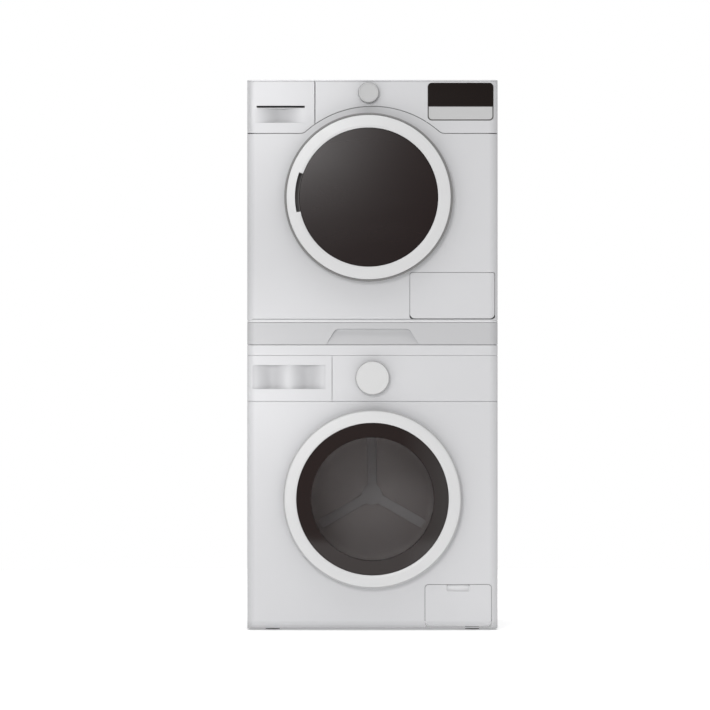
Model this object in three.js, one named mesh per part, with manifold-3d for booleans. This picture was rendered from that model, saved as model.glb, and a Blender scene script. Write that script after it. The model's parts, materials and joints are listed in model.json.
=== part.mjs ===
// A front-loading washer with a condenser dryer on top, joined by a stacking kit with a pull-out shelf.
// Millimetres. +X is to the right, +Y to the rear and +Z up; the doors face -Y.
// The origin is on the floor, under the middle of the stack's bounding box.
import * as THREE from "three";
import { mergeVertices } from "three/addons/utils/BufferGeometryUtils.js";
import Module from "manifold-3d";

const wasm = await Module();
wasm.setup();

// ---- Sizes that both machines share -------------------------------------------------------------
const width = 600;
const cabinetDepth = 540; // front panel face to cabinet back
const doorThickness = 30;
const doorGap = 1.5; // closed door to front panel
const rearProud = 28.5; // how far the rear fittings stand out of the cabinet back
const edgeRadius = 20; // vertical edges of the front
const returnDepth = 36; // how far the front mouldings wrap round the sides
const skinWall = 2.5; // front mouldings
const sheetWall = 2; // cabinet sheet
const seam = 1.6; // visible line between two front mouldings
const fit = 0.3; // pieces that touch
const running = 1; // pieces that slide or turn past each other

const doorProud = doorGap + doorThickness;
const frontY = (doorProud - rearProud - cabinetDepth) / 2;
const backY = frontY + cabinetDepth;

// ---- Washer -------------------------------------------------------------------------------------
const washerHeight = 683.3;
const plinthGap = 4; // floor to the lower edge of the panels
const washerRoll = 20; // rolled-under lower edge
const worktopThickness = 25.5;
const fasciaHeight = 110;
const washerDoorRadius = 213.4;
const washerDoorDrop = 19.5; // fascia to the top of the door
const washerRingWidth = 31.4;
const washerGlassBorder = 35; // dark border round the clear middle of the glass
const bowlDepth = 80;
const drawerWidth = 203.3;
const drawerTrayLength = 225;
const washerKnobRadius = 41.2;
const tubSideGap = 58; // tub to the cabinet sheet
const tubFloorGap = 74.9; // tub to the floor
const drumGap = 14; // drum to the outside of the tub
const drumDepth = 300;
const washerPulleyRadius = 140;
const motorPulleyRadius = 14;
const flapMargin = 14.4; // flap to the right side
const flapWidth = 160.6;
const flapBottom = 8;
const flapHeight = 102.4;
const flapCorner = 9;

// ---- Stacking kit -------------------------------------------------------------------------------
const kitHeight = 57.7;
const kitTopThickness = 3.8;
const kitRailWidth = 24;
const shelfGripHeight = 38;
const shelfGripBottom = 232; // width of the grip at the lower edge
const shelfGripTop = 178;

// ---- Dryer --------------------------------------------------------------------------------------
const dryerHeight = 576.5;
const dryerRoll = 10;
const dryerTopLip = 4;
const dryerFasciaHeight = 128.3; // at its straight ends
const archRadius = 242;
const archRise = 64.8; // arch top above the fascia's straight lower edge
const archCornerRadius = 20;
const dryerDoorRadius = 201.5;
const dryerDoorX = -9.3;
const dryerDoorDrop = 16.5; // arch top to the top of the door
const dryerRingWidth = 35.5;
const containerWidth = 162.5;
const dryerKnobRadius = 25.5;
const dryerDrumSideGap = 53; // drum to the cabinet sheet
const dryerDrumFloorGap = 50;
const dryerDrumLip = 40; // width of the drum's front rim
const serviceFlapMargin = 6.7; // flap to the right side
const serviceFlapWidth = 204.5;
const serviceFlapBottom = 4.4;
const serviceFlapHeight = 111.6;
const serviceFlapCorner = 6;
const displayMargin = 9.4; // display to the right side
const displayWidth = 158.6;
const displayHeight = 90.6;
const displayDrop = 6.9; // dryer top to the display
const displayPocket = 3;

// ---- Door hinges --------------------------------------------------------------------------------
const hingeInset = 12; // pin axis inside the door's outermost edge
const hingeSetback = 15; // pin axis in front of the door's rear face
const hingePinRadius = 3;
const hingeArmHeight = 10;
const hingeArmThickness = 3;
const hingeArmSpread = 35; // middle of each arm above or below the door's middle
const hingeEyeRadius = 6;
const doorAngle = 120; // how far both doors open
const frontFillet = 10; // door ring, front outer edge

const largeSides = 32; // sides of a large round piece
const innerSides = 24; // sides of a large round piece inside a cabinet
const smallSides = 16; // sides of a small round piece
const arcSteps = 4; // steps of an outline's rounded corner
const lipSteps = 2; // steps of a turned piece's rounded corner

// ---- Solids -------------------------------------------------------------------------------------
// A closed outline through corners [x, y, radius]; a corner with a radius becomes an arc.
function outline(corners, steps = arcSteps) {
  const points = [];
  corners.forEach(([x, y, radius = 0], index) => {
    const here = new THREE.Vector2(x, y);
    if (radius <= 0) {
      points.push(here);
      return;
    }
    const before = corners[(index + corners.length - 1) % corners.length];
    const after = corners[(index + 1) % corners.length];
    const toBefore = new THREE.Vector2(before[0] - x, before[1] - y).normalize();
    const toAfter = new THREE.Vector2(after[0] - x, after[1] - y).normalize();
    const half = Math.acos(toBefore.dot(toAfter)) / 2;
    const inward = toBefore.clone().add(toAfter).normalize();
    const centre = here.clone().addScaledVector(inward, radius / Math.sin(half));
    const start = here.clone().addScaledVector(toBefore, radius / Math.tan(half)).sub(centre);
    const end = here.clone().addScaledVector(toAfter, radius / Math.tan(half)).sub(centre);
    const sweep = Math.atan2(start.cross(end), start.dot(end));
    for (let step = 0; step <= steps; step += 1) {
      points.push(start.clone().rotateAround(new THREE.Vector2(), (sweep * step) / steps).add(centre));
    }
  });
  return points;
}

function rectangle(x0, x1, y0, y1, radius = 0) {
  return outline([[x0, y0, radius], [x1, y0, radius], [x1, y1, radius], [x0, y1, radius]]);
}

// An arc's points, angles in degrees from +X towards +Y.
function arc(x, y, radius, from, to, steps) {
  return Array.from({ length: steps + 1 }, (_, step) => {
    const angle = THREE.MathUtils.degToRad(from + ((to - from) * step) / steps);
    return new THREE.Vector2(x + radius * Math.cos(angle), y + radius * Math.sin(angle));
  });
}

// Part of a flat ring between two radii and two angles.
function sector(x, y, inner, outer, from, to, steps = 8) {
  return [...arc(x, y, outer, from, to, steps), ...arc(x, y, inner, to, from, steps)];
}

function solid(geometry) {
  geometry.deleteAttribute("normal");
  geometry.deleteAttribute("uv");
  const merged = mergeVertices(geometry, 1e-4);
  const triangles = [];
  for (let first = 0; first < merged.index.count; first += 3) {
    const [a, b, c] = merged.index.array.slice(first, first + 3);
    if (a !== b && b !== c && c !== a) triangles.push(a, b, c);
  }
  const vertProperties = merged.attributes.position.array;
  const triVerts = new Uint32Array(triangles);
  return new wasm.Manifold(new wasm.Mesh({ numProp: 3, vertProperties, triVerts }));
}

function extruded(points, length) {
  return new THREE.ExtrudeGeometry(new THREE.Shape(points), { depth: length, bevelEnabled: false });
}

// Outline in X and Z, drawn out along Y.
function plate(points, y0, y1) {
  return solid(extruded(points, y1 - y0).rotateX(Math.PI / 2).translate(0, y1, 0));
}

// Outline in X and Y, drawn out along Z.
function column(points, z0, z1) {
  return solid(extruded(points, z1 - z0).translate(0, 0, z0));
}

// Outline in Y and Z, drawn out along X.
function beam(points, x0, x1) {
  return solid(extruded(points, x1 - x0).rotateX(Math.PI / 2).rotateZ(Math.PI / 2).translate(x0, 0, 0));
}

function box(x0, x1, y0, y1, z0, z1) {
  const block = new THREE.BoxGeometry(x1 - x0, y1 - y0, z1 - z0);
  return solid(block.translate((x0 + x1) / 2, (y0 + y1) / 2, (z0 + z1) / 2));
}

// Lathe geometry round Y from corners [radius, height, fillet], which close on themselves or on the axis.
function lathe(corners, sides) {
  const profile = outline(corners, lipSteps);
  if (THREE.ShapeUtils.area(profile) < 0) profile.reverse();
  const onAxis = profile.some((point) => point.x === 0);
  while (onAxis && (profile[0].x !== 0 || profile[profile.length - 1].x !== 0)) profile.push(profile.shift());
  if (!onAxis) profile.push(profile[0].clone());
  return new THREE.LatheGeometry(profile, sides);
}

// Turned about an axis along Y through (x, z); corner heights are Y.
function turned(corners, x = 0, z = 0, sides = largeSides) {
  return solid(lathe(corners, sides).translate(x, 0, z));
}

// Turned about an axis along Z through (x, y); corner heights are Z.
function turnedUp(corners, x = 0, y = 0, sides = smallSides) {
  return solid(lathe(corners, sides).rotateX(Math.PI / 2).translate(x, y, 0));
}

function disc(radius, y0, y1, x = 0, z = 0, sides = largeSides) {
  return turned([[0, y0], [radius, y0], [radius, y1], [0, y1]], x, z, sides);
}

// A solid turned about an axis along Y, by an angle in degrees.
function clocked(corners, degrees, y0, y1) {
  const turn = THREE.MathUtils.degToRad(degrees);
  const points = corners.map((point) => point.clone().rotateAround(new THREE.Vector2(), turn));
  return plate(points, y0, y1);
}

function joined(...solids) {
  return solids.reduce((whole, piece) => whole.add(piece));
}

function meshGeometry(body) {
  const { vertProperties, triVerts } = body.getMesh();
  const geometry = new THREE.BufferGeometry();
  geometry.setAttribute("position", new THREE.BufferAttribute(vertProperties, 3));
  geometry.setIndex(new THREE.BufferAttribute(triVerts, 1));
  geometry.computeVertexNormals();
  return geometry;
}

// ---- Materials ----------------------------------------------------------------------------------
const looks = {
  enamel: { color: 0xd9dadc, roughness: 0.42, metalness: 0 },
  moulding: { color: 0xdcdddf, roughness: 0.5, metalness: 0 },
  shelfGrey: { color: 0xcbcccd, roughness: 0.5, metalness: 0 },
  ring: { color: 0xdfe0e1, roughness: 0.35, metalness: 0 },
  tintedGlass: { color: 0x2f2928, roughness: 0.05, metalness: 0, transparent: true, opacity: 0.6 },
  darkGlass: { color: 0x241c1a, roughness: 0.06, metalness: 0 },
  darkPlastic: { color: 0x2b2523, roughness: 0.5, metalness: 0 },
  rubber: { color: 0x6c6a69, roughness: 0.8, metalness: 0 },
  stainless: { color: 0xb4b4b2, roughness: 0.3, metalness: 1 },
  castMetal: { color: 0x8d8f91, roughness: 0.55, metalness: 1 },
  innerPlastic: { color: 0xa9acae, roughness: 0.6, metalness: 0 },
  tank: { color: 0xe4e7e8, roughness: 0.4, metalness: 0 },
};

function piece(name, body, look) {
  const mesh = new THREE.Mesh(meshGeometry(body), new THREE.MeshStandardMaterial(looks[look]));
  mesh.name = name;
  return mesh;
}

function placed(x, y, z, ...members) {
  const group = new THREE.Group();
  group.position.set(x, y, z);
  group.add(...members);
  return group;
}

// ---- Fronts -------------------------------------------------------------------------------------
// Plan of a front, inset from its outer face: rounded vertical edges and short returns along the sides.
function frontPlan(inset, rear) {
  const side = width / 2 - inset;
  const edge = edgeRadius - inset;
  return outline([
    [-side, rear],
    [-side, frontY + inset, edge],
    [side, frontY + inset, edge],
    [side, rear],
  ]);
}

function frontBlock(inset, roll, bottom, top, rear) {
  const side = outline([
    [rear, bottom + inset],
    [frontY + inset, bottom + inset, roll - inset],
    [frontY + inset, top],
    [rear, top],
  ]);
  return column(frontPlan(inset, rear), bottom - 1, top).intersect(beam(side, -width, width));
}

// The thin shell that every front moulding of a machine is cut from, so that their faces line up.
function frontSkin(roll, bottom, top) {
  const rear = frontY + returnDepth;
  const outside = frontBlock(0, roll, bottom, top, rear);
  return outside.subtract(frontBlock(skinWall, roll, bottom, top + 1, rear + 1));
}

// Everything in front of the returns' rear edge inside an outline in X and Z.
function frontCut(points) {
  return plate(points, frontY - 1, frontY + returnDepth + 1);
}

// Cabinet sheet folded round both sides and the back.
function cabinetWrap(bottom, top) {
  const side = width / 2;
  const inside = side - sheetWall;
  const front = frontY + returnDepth + fit;
  const wrap = box(-side, side, front, backY, bottom, top);
  return wrap.subtract(box(-inside, inside, front - 1, backY - sheetWall, bottom - 1, top + 1));
}

// Shallow pan inside a cabinet.
function basePan(bottom, height, floor, front) {
  const side = width / 2 - sheetWall - running;
  const rear = backY - sheetWall - running;
  const top = bottom + height;
  const pan = box(-side, side, front, rear, bottom, top);
  return pan.subtract(box(-side + floor, side - floor, front + floor, rear - floor, bottom + floor, top + 1));
}

// ---- Door hinge ---------------------------------------------------------------------------------
// Local frame of a door: its middle, at the front panel's face. The hinge side is -1 left or 1 right.
const pinY = -doorGap - hingeSetback;

function pinX(radius, side) {
  return side * (radius - hingeInset);
}

// The room that the bracket's arm sweeps inside the door as it opens.
function hingeSweep(radius, side, angle) {
  const clearance = hingeArmThickness / 2 + running;
  const reach = hingeInset + doorThickness;
  const last = THREE.MathUtils.degToRad(90 + angle);
  const points = [
    new THREE.Vector2(clearance, 0),
    new THREE.Vector2(clearance, reach),
    ...arc(0, 0, reach, 90, 90 + angle + 4, 10),
    new THREE.Vector2(-clearance * Math.sin(last), clearance * Math.cos(last)),
  ];
  const swept = points.map((point) => new THREE.Vector2(pinX(radius, side) - side * point.x, pinY + point.y));
  const arms = [-1, 1].map((end) => {
    const low = end * hingeArmSpread - hingeArmHeight / 2 - running;
    const high = end * hingeArmSpread + hingeArmHeight / 2 + running;
    const eye = turnedUp(
      [[0, low], [hingeEyeRadius + running, low], [hingeEyeRadius + running, high], [0, high]],
      pinX(radius, side), pinY,
    );
    return column(swept, low, high).add(eye);
  });
  const bore = hingePin(radius, side, fit);
  return joined(arms[0], arms[1], bore);
}

function hingePin(radius, side, clearance = 0) {
  const half = hingeArmSpread + hingeArmHeight / 2 + 6 + clearance;
  const pin = hingePinRadius + clearance;
  return turnedUp([[0, -half], [pin, -half], [pin, half], [0, half]], pinX(radius, side), pinY);
}

function hingeArm(radius, side, end, clearance = 0) {
  const x = pinX(radius, side);
  const half = hingeArmThickness / 2 + clearance;
  const low = end * hingeArmSpread - hingeArmHeight / 2 - clearance;
  const high = end * hingeArmSpread + hingeArmHeight / 2 + clearance;
  return box(x - half, x + half, pinY, skinWall + 5, low, high);
}

// Plate behind the front panel, with two arms that reach forward to the pin.
function hingeBracket(radius, side) {
  const x = pinX(radius, side);
  const front = skinWall + fit;
  const tall = hingeArmSpread + hingeArmHeight + 10;
  const [left, right] = [x + side * 26, x - side * 16].sort((a, b) => a - b);
  const backing = plate(rectangle(left, right, -tall, tall, 6), front, front + 4);
  const arms = [-1, 1].map((end) => {
    const low = end * hingeArmSpread - hingeArmHeight / 2;
    const high = low + hingeArmHeight;
    const eye = turnedUp([[0, low], [hingeEyeRadius, low], [hingeEyeRadius, high], [0, high]], x, pinY);
    return hingeArm(radius, side, end).add(eye);
  });
  return joined(backing, arms[0], arms[1]).subtract(hingePin(radius, side, fit));
}

// Slots that let the bracket's arms through the front panel.
function hingeSlots(radius, side) {
  return hingeArm(radius, side, -1, 0.5).add(hingeArm(radius, side, 1, 0.5));
}

// ---- Door ring ----------------------------------------------------------------------------------
// Ring with a rounded front edge and a ledge that the glass lies against.
const ringBack = -doorGap - 4;
const glassSeat = -doorProud + 9.8;

function doorRing(radius, glassRadius) {
  return turned([
    [glassRadius - 6, ringBack],
    [glassRadius - 6, glassSeat],
    [glassRadius + fit, glassSeat],
    [glassRadius + fit, -doorProud, 3],
    [radius, -doorProud, frontFillet],
    [radius, ringBack, 6],
  ]);
}

// ---- Washer -------------------------------------------------------------------------------------
const worktopBottom = washerHeight - worktopThickness;
const fasciaBottom = worktopBottom - fasciaHeight;
const washerDoorZ = fasciaBottom - washerDoorDrop - washerDoorRadius;
const washerGlassRadius = washerDoorRadius - washerRingWidth;
const bowlRadius = washerGlassRadius - washerGlassBorder;
const sealRadius = bowlRadius + 5;
const sealWall = 12;
const washerOpening = sealRadius + sealWall + 2;
const tubRadius = Math.min(width / 2 - sheetWall - tubSideGap, washerDoorZ - tubFloorGap);
const drumRadius = tubRadius - drumGap;
const tubFront = frontY + 70;
const drumFront = tubFront + 15;
const drumBack = drumFront + drumDepth;
const shaftRadius = 12.5;
const pulleyY = drumBack + 54;
const pulleyThickness = 16;
const motorX = width / 2 - 110;
const motorRadius = 40;
const motorZ = 100;
const drawerRight = -width / 2 + drawerWidth;
const drawerGripSide = 15; // drawer edges to its grip recess
const drawerGripDepth = 20;
const drawerGripLow = 30;
const drawerGripHigh = 87;
const hookX = washerDoorRadius - 22.4;
const flapSeam = 1.2;
const flapLeft = width / 2 - flapMargin - flapWidth;
const washerKnobZ = fasciaBottom + 56.3;
const flapNotchWidth = 54;
const flapNotchHeight = 17;
const pumpZ = 66;
const pumpX = flapLeft + flapWidth / 2;
const filterCapRadius = 28;

// Outline of a flap and its hole. The flap's lower corners are rounder, to pass the hole's as it drops.
function flapOutline(left, wide, bottom, tall, corner, gap) {
  const right = left + wide - gap;
  const lower = gap > 0 ? corner + 6 : corner;
  return outline([
    [left + gap, bottom + gap, lower],
    [right, bottom + gap, lower],
    [right, bottom + tall - gap, corner - gap],
    [left + gap, bottom + tall - gap, corner - gap],
  ]);
}

function filterFlapOutline(gap) {
  return flapOutline(flapLeft, flapWidth, flapBottom, flapHeight, flapCorner, gap);
}

function flapNotch() {
  const top = flapBottom + flapHeight;
  const middle = flapLeft + flapWidth / 2;
  const half = flapNotchWidth / 2;
  return frontCut(rectangle(middle - half, middle + half, top - flapNotchHeight, top + 12, 5));
}

function washerFrontPanel() {
  const skin = frontSkin(washerRoll, plinthGap, fasciaBottom - seam / 2);
  const opening = disc(washerOpening, frontY - 1, frontY + returnDepth, 0, washerDoorZ);
  const slots = hingeSlots(washerDoorRadius, -1).translate([0, frontY, washerDoorZ]);
  const lockSlot = box(hookX - 6, hookX + 6, frontY - 1, frontY + 9, washerDoorZ - 14, washerDoorZ + 14);
  return skin.subtract(opening).subtract(slots).subtract(lockSlot).subtract(frontCut(filterFlapOutline(0)));
}

// Service flap for the pump, with a notch at its top for a fingertip.
function filterFlap() {
  const skin = frontSkin(washerRoll, plinthGap, fasciaBottom);
  return skin.intersect(frontCut(filterFlapOutline(flapSeam))).subtract(flapNotch());
}

function washerFascia() {
  const skin = frontSkin(0, fasciaBottom + seam / 2, worktopBottom - seam / 2);
  const open = frontBlock(skinWall, skinWall, fasciaBottom - 20, worktopBottom + 20, frontY + returnDepth + 1);
  const right = box(drawerRight + seam / 2, width, frontY - 1, backY, 0, washerHeight);
  const shaft = disc(6, frontY - 1, frontY + 10, 0, washerKnobZ, smallSides);
  return skin.subtract(open).intersect(right).subtract(shaft);
}

// Knob with a skirt, a grip and a shaft that turns in the fascia.
function knob(radius, depth, shaft) {
  return turned([
    [0, -depth],
    [radius - 3, -depth, 2],
    [radius, -depth + 6, 2],
    [radius, -running],
    [shaft, -running],
    [shaft, 8],
    [0, 8],
  ], 0, 0, innerSides);
}

function drawerFront() {
  const low = fasciaBottom;
  const skin = frontSkin(0, low + seam / 2, worktopBottom - seam / 2);
  const open = frontBlock(skinWall, skinWall, low - 20, worktopBottom + 20, frontY + returnDepth + 1);
  const left = box(-width, drawerRight - seam / 2, frontY - 1, backY, 0, washerHeight);
  const face = skin.subtract(open).intersect(left);
  const x0 = -width / 2 + drawerGripSide;
  const x1 = drawerRight - drawerGripSide;
  const z0 = low + drawerGripLow;
  const z1 = low + drawerGripHigh;
  const rear = frontY + drawerGripDepth;
  const backing = box(x0 - 4, x1 + 4, frontY + 1, rear + 3, z0 - 4, z1 + 10);
  const mouth = plate(rectangle(x0, x1, z0, z1, 4), frontY - 1, rear);
  const behindLip = box(x0 + 4, x1 - 4, frontY + 5, rear, z1 - 10, z1 + 6);
  return face.add(backing).subtract(mouth).subtract(behindLip);
}

// Drawer tray with a front wall, a floor and three compartments that are open at the top.
const trayX0 = -width / 2 + sheetWall + 15;
const trayX1 = drawerRight - 12;
const trayFront = frontY + drawerGripDepth + 3 + fit;
const trayBack = trayFront + drawerTrayLength;
const trayZ0 = fasciaBottom + 24;
const trayZ1 = fasciaBottom + 88;
const trayWall = 2.5;

function drawerTray() {
  const cell = (trayX1 - trayX0 - 4 * trayWall) / 3;
  const front = trayFront + trayWall;
  const rear = trayBack - trayWall;
  let tray = box(trayX0, trayX1, trayFront, trayBack, trayZ0, trayZ1);
  for (let index = 0; index < 3; index += 1) {
    const left = trayX0 + trayWall + index * (cell + trayWall);
    tray = tray.subtract(box(left, left + cell, front, rear, trayZ0 + trayWall, trayZ1 + 1));
  }
  return tray;
}

// Box that the tray slides in, open towards the front.
function drawerHousing() {
  const room = 2 * running;
  const front = frontY + returnDepth + 6;
  const outer = box(
    trayX0 - room - trayWall, trayX1 + room + trayWall, front, trayBack + room + trayWall,
    trayZ0 - room - trayWall, trayZ1 + room + trayWall,
  );
  const inside = box(trayX0 - room, trayX1 + room, front - 1, trayBack + room, trayZ0 - room, trayZ1 + room);
  return outer.subtract(inside);
}

function worktop() {
  return column(frontPlan(0, backY), worktopBottom, washerHeight - fit);
}

const footX = width / 2 - 60;
const footFrontY = frontY + 70;
const footRearY = backY - 60;
const baseBottom = 20;
const footStemRadius = 5;

function washerBase() {
  let base = basePan(baseBottom, 12, 3, frontY + returnDepth + running);
  for (const x of [-footX, footX]) {
    for (const y of [footFrontY, footRearY]) {
      const hole = footStemRadius + 0.6;
      base = base.subtract(turnedUp([[0, 0], [hole, 0], [hole, 40], [0, 40]], x, y));
    }
  }
  return base;
}

// Screw foot with a lock nut under the base.
function foot() {
  const nutTop = baseBottom - fit;
  return turnedUp([
    [0, 0],
    [17, 0],
    [17, 6],
    [9, 9],
    [9, nutTop],
    [footStemRadius, nutTop],
    [footStemRadius, nutTop + 18],
    [0, nutTop + 18],
  ]);
}

// Tub: a cup round the drum, open at the front, with a bearing boss at its rear.
function tub() {
  const wall = 4;
  const back = drumBack + 24;
  return turned([
    [shaftRadius + running, back - 4],
    [tubRadius - 14, back - 4],
    [tubRadius - wall, back - 16],
    [tubRadius - wall, tubFront + wall],
    [washerOpening, tubFront + wall],
    [washerOpening, tubFront],
    [tubRadius, tubFront],
    [tubRadius, back - 14],
    [tubRadius - 14, back],
    [60, back],
    [48, back + 22],
    [shaftRadius + running, back + 22],
  ], 0, washerDoorZ, innerSides);
}

// Drum: a cup with a rolled front lip, three lifters and a raised three-armed star on its rear wall.
function washerDrum() {
  const wall = 2;
  const lip = sealRadius + 4;
  const shell = turned([
    [0, drumBack - wall],
    [drumRadius - 10, drumBack - wall],
    [drumRadius - wall, drumBack - 10],
    [drumRadius - wall, drumFront + wall],
    [lip, drumFront + wall],
    [lip, drumFront],
    [drumRadius, drumFront],
    [drumRadius, drumBack - 10],
    [drumRadius - 10, drumBack],
    [0, drumBack],
  ]);
  const armWidth = 23;
  const starFront = drumBack - wall - 5;
  let drum = shell.add(disc(25, starFront, drumBack - 1, 0, 0, smallSides));
  for (const degrees of [0, 120, 240]) {
    const arm = rectangle(-armWidth / 2, armWidth / 2, 10, bowlRadius, 0);
    drum = drum.add(clocked(arm, degrees, starFront, drumBack - 1));
    const lifter = outline([
      [-30, drumRadius - 1.5],
      [-9, drumRadius - 46, 6],
      [9, drumRadius - 46, 6],
      [30, drumRadius - 1.5],
    ]);
    const room = shell.add(disc(drumRadius - 1, drumFront + 1, drumBack - 1));
    drum = drum.add(clocked(lifter, degrees + 60, drumFront + 20, drumBack - 20).intersect(room));
  }
  return drum;
}

// Cast spider behind the drum: three arms, a hub and the shaft that carries the pulley.
function drumSpider() {
  const front = drumBack + fit;
  let spider = disc(46, front, front + 14, 0, 0, smallSides);
  for (const degrees of [0, 120, 240]) {
    const arm = outline([[-14, 20], [-9, drumRadius - 12], [9, drumRadius - 12], [14, 20]]);
    spider = spider.add(clocked(arm, degrees, front, front + 10));
  }
  const shaft = disc(shaftRadius, front + 1, pulleyY + pulleyThickness + 6, 0, 0, smallSides);
  return spider.add(shaft);
}

// Grooved pulley of the given rim radius on a shaft, with lightening holes where it is large.
function pulley(radius, bore, thickness, holes) {
  let wheel = turned([
    [bore, 0],
    [radius, 0],
    [radius - 2, 3],
    [radius - 2, thickness - 3],
    [radius, thickness],
    [bore, thickness],
  ], 0, 0, radius > 50 ? innerSides : smallSides);
  for (let index = 0; index < holes; index += 1) {
    const angle = (index * 2 * Math.PI) / holes;
    const x = radius * 0.58 * Math.cos(angle);
    const z = radius * 0.58 * Math.sin(angle);
    wheel = wheel.subtract(disc(radius * 0.2, -1, thickness + 1, x, z, 8));
  }
  return wheel;
}

// Flat belt round both pulleys: two arcs and the straight runs that touch them.
function belt(x0, z0, r0, x1, z1, r1, y0, y1) {
  const bearing = THREE.MathUtils.radToDeg(Math.atan2(z1 - z0, x1 - x0));
  const lean = THREE.MathUtils.radToDeg(Math.acos((r0 - r1) / Math.hypot(x1 - x0, z1 - z0)));
  const loop = (extra) => [
    ...arc(x0, z0, r0 + extra, bearing + lean, bearing + 360 - lean, 32),
    ...arc(x1, z1, r1 + extra, bearing - lean, bearing + lean, 8),
  ];
  return plate(loop(3), y0, y1).subtract(plate(loop(0.6), y0 - 1, y1 + 1));
}

function washerBelt() {
  return belt(
    0, washerDoorZ, washerPulleyRadius, motorX, motorZ, motorPulleyRadius,
    pulleyY + 3.5, pulleyY + pulleyThickness - 3.5,
  );
}

// Motor body with cooling ribs and a bore for its shaft.
function motor(radius, length, shaft) {
  const corners = [[shaft + running, 0], [radius - 12, 0], [radius - 6, 14], [radius - 6, 24]];
  for (let y = 24; y < length - 60; y += 28) {
    corners.push([radius, y], [radius, y + 16], [radius - 4, y + 16], [radius - 4, y + 28]);
  }
  corners.push([radius - 12, length], [shaft + running, length]);
  return turned(corners, 0, 0, smallSides);
}

function motorPulley(shaft, length) {
  return pulley(motorPulleyRadius, 0, pulleyThickness, 0).add(disc(shaft, -length, 1, 0, 0, smallSides));
}

// Folded rubber seal between the front panel and the tub.
function doorSeal() {
  const front = frontY + skinWall + fit;
  const rear = tubFront - fit;
  const outer = sealRadius + sealWall;
  return turned([
    [sealRadius, front + 3],
    [outer + 8, front],
    [outer + 8, front + 5],
    [outer - 4, front + 8],
    [outer, rear - 18],
    [outer + 12, rear - 8],
    [outer + 12, rear],
    [sealRadius + 2, rear],
    [sealRadius + 6, (front + rear) / 2 + 8],
    [sealRadius, (front + rear) / 2 - 8],
  ], 0, washerDoorZ);
}

// Filter end of the drain pump, open towards the front, with the pump motor behind.
function drainPump() {
  const front = frontY + returnDepth;
  return turned([
    [filterCapRadius - 4, front],
    [filterCapRadius + 2, front],
    [filterCapRadius + 2, front + 70, 6],
    [20, front + 74],
    [20, front + 110, 3],
    [0, front + 110],
    [0, front + 66],
    [filterCapRadius - 4, front + 66],
  ], pumpX, pumpZ, smallSides);
}

// Screw cap with a raised grip bar and a plug that fills the filter's mouth.
function filterCap() {
  const front = frontY + returnDepth;
  const plug = turned([
    [0, front - 9],
    [filterCapRadius, front - 9, 2],
    [filterCapRadius, front - fit],
    [filterCapRadius - 4 - running, front - fit],
    [filterCapRadius - 4 - running, front + 34],
    [0, front + 34],
  ], 0, 0, smallSides);
  return plug.add(box(-20, 20, front - 20, front - 8, -4, 4));
}

function inletValve() {
  const body = box(-26, 26, backY - 62, backY - sheetWall - fit, -20, 24);
  const stub = disc(13, backY - 20, backY + rearProud, 0, 0, smallSides);
  return body.add(stub);
}

function cordGland() {
  return turned([
    [5, backY - 12],
    [9, backY - 12],
    [9, backY - sheetWall],
    [9, backY],
    [14, backY + fit],
    [14, backY + 5, 1],
    [8, backY + 20],
    [5, backY + 20],
  ], 0, 0, smallSides);
}

const inletX = -width / 2 + 100;
const inletZ = fasciaBottom + 52;
const glandX = width / 2 - 80;
const washerGlandZ = fasciaBottom + 40;

function washerCabinet() {
  const wrap = cabinetWrap(plinthGap, worktopBottom - fit);
  const inlet = disc(13.6, backY - 10, backY + 1, inletX, inletZ, smallSides);
  const gland = disc(9.4, backY - 10, backY + 1, glandX, washerGlandZ, smallSides);
  return wrap.subtract(inlet).subtract(gland);
}

// Lock behind the front panel, with a slot that the door's hook enters.
function doorLock() {
  const front = skinWall + fit;
  const body = box(hookX - 18, hookX + 22, front, front + 30, -42, 42);
  return body.subtract(box(hookX - 7, hookX + 7, front - 1, front + 20, -15, 15));
}

function washerDoorFrame() {
  const back = -doorGap;
  const frame = turned([
    [bowlRadius + 0.6, ringBack + fit],
    [washerDoorRadius - 8.4, ringBack + fit],
    [washerDoorRadius - 8.4, back, 1.5],
    [bowlRadius + 0.6, back],
  ]);
  const hook = box(hookX - 2, hookX + 2, back - 1, 14, -10, 10);
  const barb = box(hookX - 5, hookX - 1, 8, 14, -10, 10);
  return joined(frame, hook, barb).subtract(hingeSweep(washerDoorRadius, -1, doorAngle));
}

// Glass bowl that reaches into the drum's mouth.
function doorBowl() {
  const wall = 5;
  return turned([
    [0, bowlDepth],
    [bowlRadius - 17, bowlDepth, 22],
    [bowlRadius - 7, bowlDepth - 20],
    [bowlRadius, ringBack],
    [washerGlassRadius - 8, ringBack],
    [washerGlassRadius - 8, ringBack - 4],
    [bowlRadius - wall, ringBack - 4],
    [bowlRadius - wall - 7, bowlDepth - 20],
    [bowlRadius - wall - 24, bowlDepth - wall],
    [0, bowlDepth - wall],
  ]);
}

// Glass that bulges forward in its middle by the dome's depth.
function doorGlass(radius, dome) {
  const front = -doorProud + 1;
  const back = glassSeat - fit;
  return turned([
    [0, front],
    [radius * 0.4, front + dome * 0.16],
    [radius * 0.7, front + dome * 0.49],
    [radius * 0.9, front + dome * 0.81],
    [radius, front + dome],
    [radius, back],
    [0, back],
  ]);
}

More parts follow.
